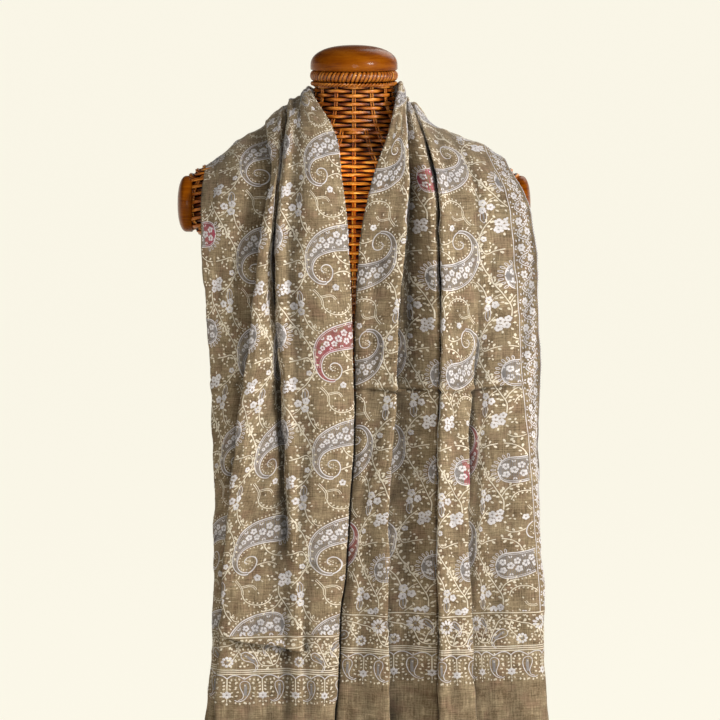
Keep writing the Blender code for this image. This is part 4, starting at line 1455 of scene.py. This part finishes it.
class FormSurface:
    """The torso's outer surface by (share of the way round, height), from the front towards +X."""

    def __init__(self, points_round):
        self.levels = np.linspace(FORM_BOTTOM, NECK_TOP, FORM_LEVELS)
        sections = np.array(FORM_SECTIONS, float) * MM
        shape = smooth_through(sections[:, 0], sections[:, 1:], self.levels)
        ring_x, ring_y = oval(np.linspace(-np.pi / 2, 1.5 * np.pi, 1441), FORM_ROUNDNESS)
        shares = np.arange(points_round) / points_round
        self.points = np.empty((points_round, FORM_LEVELS, 3))
        self.round = np.empty(FORM_LEVELS)
        for level, (breadth, forward, back) in enumerate(shape):
            x = np.clip(breadth * ring_x, -ARM_FACE, ARM_FACE)
            y = np.where(ring_y > 0, back, forward) * ring_y
            ring = np.stack([x, y, np.full(len(x), self.levels[level])], -1)
            run = distances(ring)
            self.round[level] = run[-1]
            self.points[:, level] = part_way(shares * run[-1], run, ring)
        around = np.roll(self.points, -1, axis=0) - np.roll(self.points, 1, axis=0)
        self.up = unit(np.gradient(self.points, axis=1))
        self.out = unit(np.cross(around, self.up))
        run = distances(self.points, axis=1)
        start = np.searchsorted(self.levels, FAN_START)
        # row coordinate: plain height below and in front, true length along the shoulders above
        length = run - run[:, start:start + 1] + self.levels[start]
        from_front = np.minimum(shares, 1 - shares)
        fan = np.clip((from_front - LEVEL_SHARE[0]) / (LEVEL_SHARE[1] - LEVEL_SHARE[0]), 0, 1)
        length = self.levels + (length - self.levels) * fan[:, None]
        self.row_place = np.where(self.levels < FAN_START, self.levels, length)

    def frames(self, column, heights):
        """Place, up and out at these heights of one column."""
        return [
            part_way(heights, self.levels, values[column])
            for values in (self.points, self.up, self.out)
        ]


def add_weave(name, cane, surface, stakes, row_places, by_height, limits, seed):
    """Rows of cane over and under the stakes, as a piece."""
    rng = np.random.default_rng(seed)
    count, rows = len(surface.points), len(row_places)
    profile = np.array(ROW_PROFILE) * MM
    heights = np.empty((count, rows))
    spread = np.empty((count, rows, 3, 3))
    for column in range(count):
        run = surface.levels if by_height else surface.row_place[column]
        heights[column] = np.interp(row_places, run, surface.levels)
        spread[column] = np.stack(surface.frames(column, heights[column]), axis=1)
    place, up, out = spread[:, :, 0], spread[:, :, 1], spread[:, :, 2]
    share = np.arange(count)[:, None] / count
    phase = np.cos(np.pi * (share * stakes + np.arange(rows)))
    sway = np.sign(phase) * abs(phase) ** 0.8 * WEAVE_DEPTH - WEAVE_INSET
    sway = sway + rng.normal(0, WEAVE_JITTER, (1, rows))
    rise = rng.normal(0, WEAVE_JITTER, (1, rows)) + 0.15 * MM * np.sin(
        2 * np.pi * share * 5 + rng.uniform(0, 6.28, (1, rows))
    )
    over = (phase + 1) / 2
    # the inner edges stay full height, so no light comes through between the rows
    inner = profile[:, 0] < -1 * MM
    tall = np.where(inner, 1.0, (DIVE_SHRINK + (1 - DIVE_SHRINK) * over)[:, :, None])
    points = (
        place[:, :, None]
        + out[:, :, None] * (sway[:, :, None, None] + profile[:, :1])
        + up[:, :, None] * (rise[:, :, None, None] + profile[:, 1:] * tall[..., None])
    )
    per = len(profile)
    inside = (heights >= limits[0]) & (heights <= limits[1])
    a = (np.arange(count)[:, None] * rows + np.arange(rows)) * per
    keep = inside & np.roll(inside, -1, axis=0)
    a, b = a[keep], np.roll(a, -1, axis=0)[keep]
    faces = []
    for edge in range(per):
        after = (edge + 1) % per
        faces.append(np.stack([a + edge, b + edge, b + after, a + after], -1))
    length = share * surface.round.mean()
    own = np.empty(points.shape)
    own[..., 0] = (length + rng.uniform(0, 3, (1, rows)))[:, :, None]
    own[..., 1] = np.arange(rows)[:, None] * STRIP_STEP + profile[:, 1]
    # painted shade: darker where the row dives behind a stake, near black on its inner side
    own[..., 2] = (1 - over)[:, :, None] * 0.85 + np.where(inner, 0.9, 0.0)
    # only the points that a face uses
    used, faces = np.unique(np.concatenate(faces), return_inverse=True)
    points, own = points.reshape(-1, 3)[used], own.reshape(-1, 3)[used]
    add_strands(name, points, [faces.reshape(-1, 4)], own, cane, "woven_cane", "form_torso")


def tubes(paths, radius, sides, own_depth=0.0):
    """Tubes along paths of one length, (tubes, points, 3): points, face sets, each point's own
    place. The face sets are the sides and the two ends."""
    paths = np.asarray(paths, float)
    number, steps = paths.shape[:2]
    along = unit(np.gradient(paths, axis=1))
    helper = np.where(abs(along[..., 2:]) > 0.9, (0.0, 1.0, 0.0), (0.0, 0.0, 1.0))
    first = unit(np.cross(along, helper))[:, :, None]
    second = np.cross(along[:, :, None], first)
    angle = 2 * np.pi * np.arange(sides) / sides
    radius = np.broadcast_to(np.asarray(radius, float), (number, steps))
    ring = np.cos(angle)[:, None] * first + np.sin(angle)[:, None] * second
    points = paths[:, :, None] + ring * radius[:, :, None, None]
    starts = np.arange(number)[:, None] * steps
    base = (starts + np.arange(steps - 1)) * sides
    faces = []
    for side in range(sides):
        after = (side + 1) % sides
        faces.append(np.stack(
            [base + side, base + after, base + sides + after, base + sides + side], -1
        ).reshape(-1, 4))
    low, high = ((starts + place) * sides + np.arange(sides) for place in (0, steps - 1))
    own = np.zeros(points.shape)
    own[..., 0] = distances(paths, axis=1)[:, :, None]
    own[..., 1] = np.arange(number)[:, None, None] * STRIP_STEP + angle * 0.0003
    # how much painted shade the cane material gives the tube
    own[..., 2] = own_depth
    return points.reshape(-1, 3), [np.concatenate(faces), low[:, ::-1], high], own.reshape(-1, 3)


def torso_pieces(cane):
    surface = FormSurface(STAKES * POINTS_PER_STAKE)
    places = np.arange(FORM_BOTTOM + 2.5 * MM, surface.row_place[:, -1].max(), ROW_PITCH)
    split = int(np.searchsorted(places, SPLIT_PLACE))
    split += split % 2
    limits = (0, NECK_START)
    add_weave("torso_weave_lower", cane, surface, STAKES, places[:split], False, limits, 11)
    add_weave("torso_weave_upper", cane, surface, STAKES, places[split:], False, limits, 12)
    neck = FormSurface(NECK_STAKES * POINTS_PER_NECK_STAKE)
    places = np.arange(NECK_START + 2.4 * MM, NECK_TOP - 4.5 * MM, ROW_PITCH)
    add_weave("neck_weave", cane, neck, NECK_STAKES, places, True, (0, 2), 13)
    # stakes: pairs of thin canes behind and before the rows
    paths = []
    for source, number, low, high in (
        (surface, STAKES, FORM_BOTTOM + 1 * MM, NECK_START + 3 * MM),
        (neck, NECK_STAKES, NECK_START - 12 * MM, NECK_TOP - 1 * MM),
    ):
        for column in range(0, len(source.points), len(source.points) // number):
            place, up, out = source.frames(column, np.linspace(low, high, 64))
            side = np.cross(up, out)
            for sign in (-1, 1):
                paths.append(place + side * (sign * STAKE_GAP / 2) - out * WEAVE_INSET)
    made = tubes(paths, STAKE_RADIUS, 5, STAKE_DEPTH)
    add_strands("torso_stakes", *made, cane, "woven_cane", "form_torso")
    # a twisted row of two strands closes the weave under the ring
    angle = np.linspace(0, 2 * np.pi, 361)
    paths = []
    for half in (0, np.pi):
        twist = angle * TWIST_TURNS + half
        radius = TWIST_RING + TWIST_STRAND * np.cos(twist)
        height = NECK_TOP - 2.6 * MM + TWIST_STRAND * np.sin(twist)
        paths.append(np.stack([radius * np.cos(angle), radius * np.sin(angle), height], -1))
    points, (sides, *_), own = tubes(paths, TWIST_STRAND, 6)
    add_strands("neck_twist", points, [sides], own, cane, "woven_cane", "form_torso")


def wrapped_ring(cane):
    """The neck ring: a hoop wrapped with turns of cane, a little slanted."""
    per_turn, around = 5, 14
    count = WRAP_TURNS * per_turn
    points = np.empty((count, around, 3))
    own = np.empty((count, around, 3))
    wobble = np.random.default_rng(41).normal(0, 0.006, WRAP_TURNS)
    for step in range(count):
        turn = step // per_turn
        ridge = abs(math.sin(math.pi * (step % per_turn) / per_turn)) ** 0.5
        for corner in range(around):
            t = 2 * math.pi * corner / around
            angle = 2 * np.pi * step / count + (0.045 * math.sin(t) + wobble[turn])
            radius = WRAP_RING + (3.7 + 1.1 * ridge) * MM * math.cos(t)
            tall = RING_HEIGHT / 2 - 1.1 * MM + 1.1 * ridge * MM
            height = NECK_TOP + GAP + RING_HEIGHT / 2 + tall * math.sin(t)
            points[step, corner] = (radius * math.cos(angle), radius * math.sin(angle), height)
            # the third value is painted shade in the grooves between turns
            own[step, corner] = (t * 0.006 + turn * 0.37, step * 0.001, 1 - ridge)
    add_strands("neck_ring", points.reshape(-1, 3), [grid_faces(count, around, tyre=True)],
                own, cane, "woven_cane", "form_neck_ring")


def turned_piece(name, profile, wood, node, place=(0, 0, 0), axis="Z", sides=96):
    """A turned wooden piece from (radius, along the axis) pairs."""
    radius, height = np.asarray(profile, float).T
    angle = 2 * np.pi * np.arange(sides) / sides
    points = np.empty((sides, len(profile), 3))
    points[..., :2] = np.stack([np.cos(angle), np.sin(angle)], -1)[:, None] * radius[:, None]
    points[..., 2] = height
    points = points.reshape(-1, 3)
    if axis != "Z":
        points = points[:, (2, 1, 0)] * ((1, -1, 1) if axis == "+X" else (-1, 1, 1))
    mesh = mesh_of(name, points + np.array(place), *capped_faces(sides, len(profile)))
    add_piece(name, mesh, wood, "varnished_wood", node)


def domed(radius, low, high, edge, steps=16):
    """Profile of a low dome on a rounded upright edge."""
    profile = [(radius - 1 * MM, low), (radius, low + 1 * MM)]
    for step in range(steps + 1):
        angle = np.pi / 2 * step / (steps + 0.4)
        out, rise = np.cos(angle) ** DOME_POWER, np.sin(angle) ** DOME_POWER
        profile.append((radius * out, low + edge + (high - low - edge) * rise))
    return profile


def base_board(wood):
    """The board under the torso: the torso's lowest section, with a rounded edge."""
    low = FORM_BOTTOM - GAP - BOARD_THICKNESS
    _, breadth, forward, back = (value * MM for value in FORM_SECTIONS[0])
    across, deep = oval(np.linspace(0, 2 * np.pi, BOARD_SIDES, endpoint=False), FORM_ROUNDNESS)
    rings = np.empty((BOARD_SIDES, len(BOARD_PROFILE), 3))
    for level, (rise, more) in enumerate(np.array(BOARD_PROFILE) * MM):
        rings[:, level, 0] = (breadth + more) * across
        rings[:, level, 1] = np.where(deep > 0, back + more, forward + more) * deep
        rings[:, level, 2] = low + rise
    faces = capped_faces(BOARD_SIDES, len(BOARD_PROFILE))
    mesh = mesh_of("base_board", rings.reshape(-1, 3), *faces)
    add_piece("base_board", mesh, wood, "varnished_wood", "form_base_board")
    return low


def wooden_pieces(wood):
    ring_top = NECK_TOP + 2 * GAP + RING_HEIGHT
    cap = domed(CAP_RADIUS, ring_top, OBJECT_HEIGHT, 5 * MM)
    turned_piece("neck_cap", cap, wood, "form_neck_cap", sides=128)
    dome = domed(ARM_CAP_RADIUS, -ARM_CAP_SKIRT, ARM_CAP_DEPTH, ARM_CAP_SKIRT + 1 * MM)
    for side, sign, axis in (("left", -1, "-X"), ("right", 1, "+X")):
        place = (sign * (ARM_FACE + GAP), 0, ARM_CAP_HEIGHT)
        turned_piece(f"arm_cap_{side}", dome, wood, f"form_arm_cap_{side}", place, axis)
    board_low = base_board(wood)
    low, high = BASE_THICKNESS + GAP, board_low - GAP
    knots = np.arange(len(POST_PROFILE), dtype=float)
    fine = smooth_through(knots, POST_PROFILE, np.linspace(0, knots[-1], 81))
    fine[:, 1] = np.maximum.accumulate(np.clip(fine[:, 1], 0, 1))
    post = [(POST_RADIUS * wide, low + share * (high - low)) for wide, share in fine]
    turned_piece("stand_post_turned", post, wood, "stand_post", sides=64)
    # round base: a straight edge, a quarter of an oval, and a shallow slope
    radius, top, edge = BASE_RADIUS, BASE_THICKNESS, BASE_EDGE
    base = [(radius - 2 * MM, 0), (radius, 2 * MM), (radius, top - 2 * edge)]
    for angle in (np.pi / 2 * step / 8 for step in range(1, 9)):
        base.append((radius - 3 * edge * (1 - math.cos(angle)),
                     top - 2 * edge + 1.6 * edge * math.sin(angle)))
    base += [(radius - 4.5 * edge, top - 0.1 * edge), (radius - 8 * edge, top)]
    turned_piece("stand_base_turned", base, wood, "stand_base", sides=128)


# ---------------------------------------------------------------- the fringe

def fringe_piece(side, material):
    """Twisted warp ends hanging from the cloth's end, in bundles of two plies."""
    rng = np.random.default_rng(FRINGE_SEED[side])
    line = SHEET[:, 0 if side == "left" else -1]
    run = distances(line)
    number = int(run[-1] / YARN_SPACING)
    down = np.linspace(0, 1, YARN_STEPS)
    thick = np.full(YARN_STEPS, PLY_RADIUS)
    thick[-1] = PLY_TIP
    paths = []
    for yarn in range(number):
        at = (yarn + 0.5) * run[-1] / number
        top = part_way(at, run, line)
        across = unit(part_way(at + 1 * MM, run, line) - top)
        off = np.array((-across[1], across[0], 0.0))
        length = FRINGE_LENGTH - rng.uniform(1, 5) * MM
        lean = rng.normal(0, 1.4, 2) * MM
        wave = rng.uniform(0, 2 * np.pi)
        turn = rng.uniform(0, 2 * np.pi)
        swing = lean[0] * down**1.5 + 0.5 * MM * np.sin(down * 5 + wave) * down
        middle = top + np.outer(swing, across)
        middle = middle + np.outer(0.4 * lean[1] * down, off)
        middle[:, 2] = top[2] + 0.6 * MM - length * down
        for ply in (0, np.pi):
            twist = turn + ply + down * length / YARN_TWIST * 2 * np.pi
            shift = PLY_OFF * np.stack([np.cos(twist), np.sin(twist)], -1)
            paths.append(middle + shift[:, :1] * across + shift[:, 1:] * off * 0.8)
    made = tubes(paths, np.tile(thick, (len(paths), 1)), 4)
    return add_strands(
        f"fringe_{side}_yarns", *made, material, "fringe_yarn", f"fringe_{side}")


# ---------------------------------------------------------------- stage, lights and camera

def studio_floor():
    """A wide floor: plain where the object stands, a glowing pale cream further off."""
    x, y = FLOOR_MIDDLE
    radii = np.array([0.0, *np.geomspace(FLOOR_FADE[0], FLOOR_REACH, FLOOR_RINGS - 1)])
    angle = np.linspace(0, 2 * np.pi, FLOOR_SIDES, endpoint=False)[:, None]
    points = np.stack([x + radii * np.cos(angle), y + radii * np.sin(angle), 0 * radii * angle], -1)
    faces = grid_faces(FLOOR_SIDES, FLOOR_RINGS, closed=True)[:, ::-1]
    mesh = mesh_of("floor", points.reshape(-1, 3), faces)
    made = in_scene("floor", mesh)
    s = Shader("Pale cream floor", roughness=0.95, Specular_IOR_Level=0.05,
               Emission_Color=GLOW_COLOUR)
    place = s.split(s.place())
    square = s.total(*(
        s.math("POWER", s.math("ABSOLUTE", s.math("SUBTRACT", place[axis], middle)), 2.0)
        for axis, middle in (("X", x), ("Y", y))
    ))
    far = s.remap(s.math("SQRT", square), *FLOOR_FADE, 0.0, 1.0)
    colour = s.mix(far, FLOOR_COLOUR, FAR_COLOUR)
    s.use(Base_Color=colour, Emission_Strength=s.product(far, FLOOR_GLOW))
    mesh.materials.append(s.material)


def area_light(name, place, aim, size, power, colour):
    light = bpy.data.lights.new(name, "AREA")
    light.shape = "RECTANGLE"
    light.size, light.size_y = size
    light.energy = power
    light.color = colour
    made = in_scene(name, light)
    made.location = place
    made.visible_camera = False
    made.rotation_euler = (Vector(aim) - Vector(place)).to_track_quat("-Z", "Y").to_euler()


def studio():
    world = bpy.data.worlds.new("Soft room")
    bpy.context.scene.world = world
    world.use_nodes = True
    tree = world.node_tree
    background = tree.nodes["Background"]
    place = tree.nodes.new("ShaderNodeTexCoord")
    split = tree.nodes.new("ShaderNodeSeparateXYZ")
    ramp = tree.nodes.new("ShaderNodeMapRange")
    tree.links.new(place.outputs["Generated"], split.inputs["Vector"])
    tree.links.new(split.outputs["Z"], ramp.inputs["Value"])
    for socket, value in zip(("From Min", "From Max", "To Min", "To Max"), WORLD_BAND):
        ramp.inputs[socket].default_value = value
    tree.links.new(ramp.outputs["Result"], background.inputs["Strength"])
    background.inputs["Color"].default_value = WORLD_COLOUR
    for row in LIGHTS:
        area_light(*row)
    camera = bpy.data.cameras.new("Camera")
    camera.lens = CAMERA_LENS
    camera.sensor_width = 36
    camera.clip_end = 200
    made = in_scene("Camera", camera)
    elevation = math.radians(CAMERA_ELEVATION)
    reach = Vector((0, -math.cos(elevation), math.sin(elevation))) * CAMERA_DISTANCE
    made.location = Vector(CAMERA_TARGET) + reach
    made.rotation_euler = (math.pi / 2 - elevation, 0, 0)
    bpy.context.scene.camera = made
    bpy.context.scene.view_settings.view_transform = "Standard"


# ---------------------------------------------------------------- the scene

SHEET, SHEET_W, SHEET_S, SHEET_ROWS, LINE_FLAT = plain_sheet()
SHEET = creased(SHEET, SHEET_W, SHEET_S)
SHEET_NORMALS = grid_normals(SHEET)
SHEET_HOLLOWS = hollows(SHEET, SHEET_NORMALS)
COLUMNS = len(SHEET)
SHEET_KEYS = (SHEET_W + np.arange(ROWS)[None, :] * ROW_KEY).T.ravel()

shawl = cloth_piece()
yarn = thread_material(*YARN)
fringes = [fringe_piece(side, yarn) for side in ("left", "right")]
stitches = embroidery_pieces()
cane = cane_material()
torso_pieces(cane)
wrapped_ring(cane)
wooden_pieces(wood_material())
studio_floor()
studio()
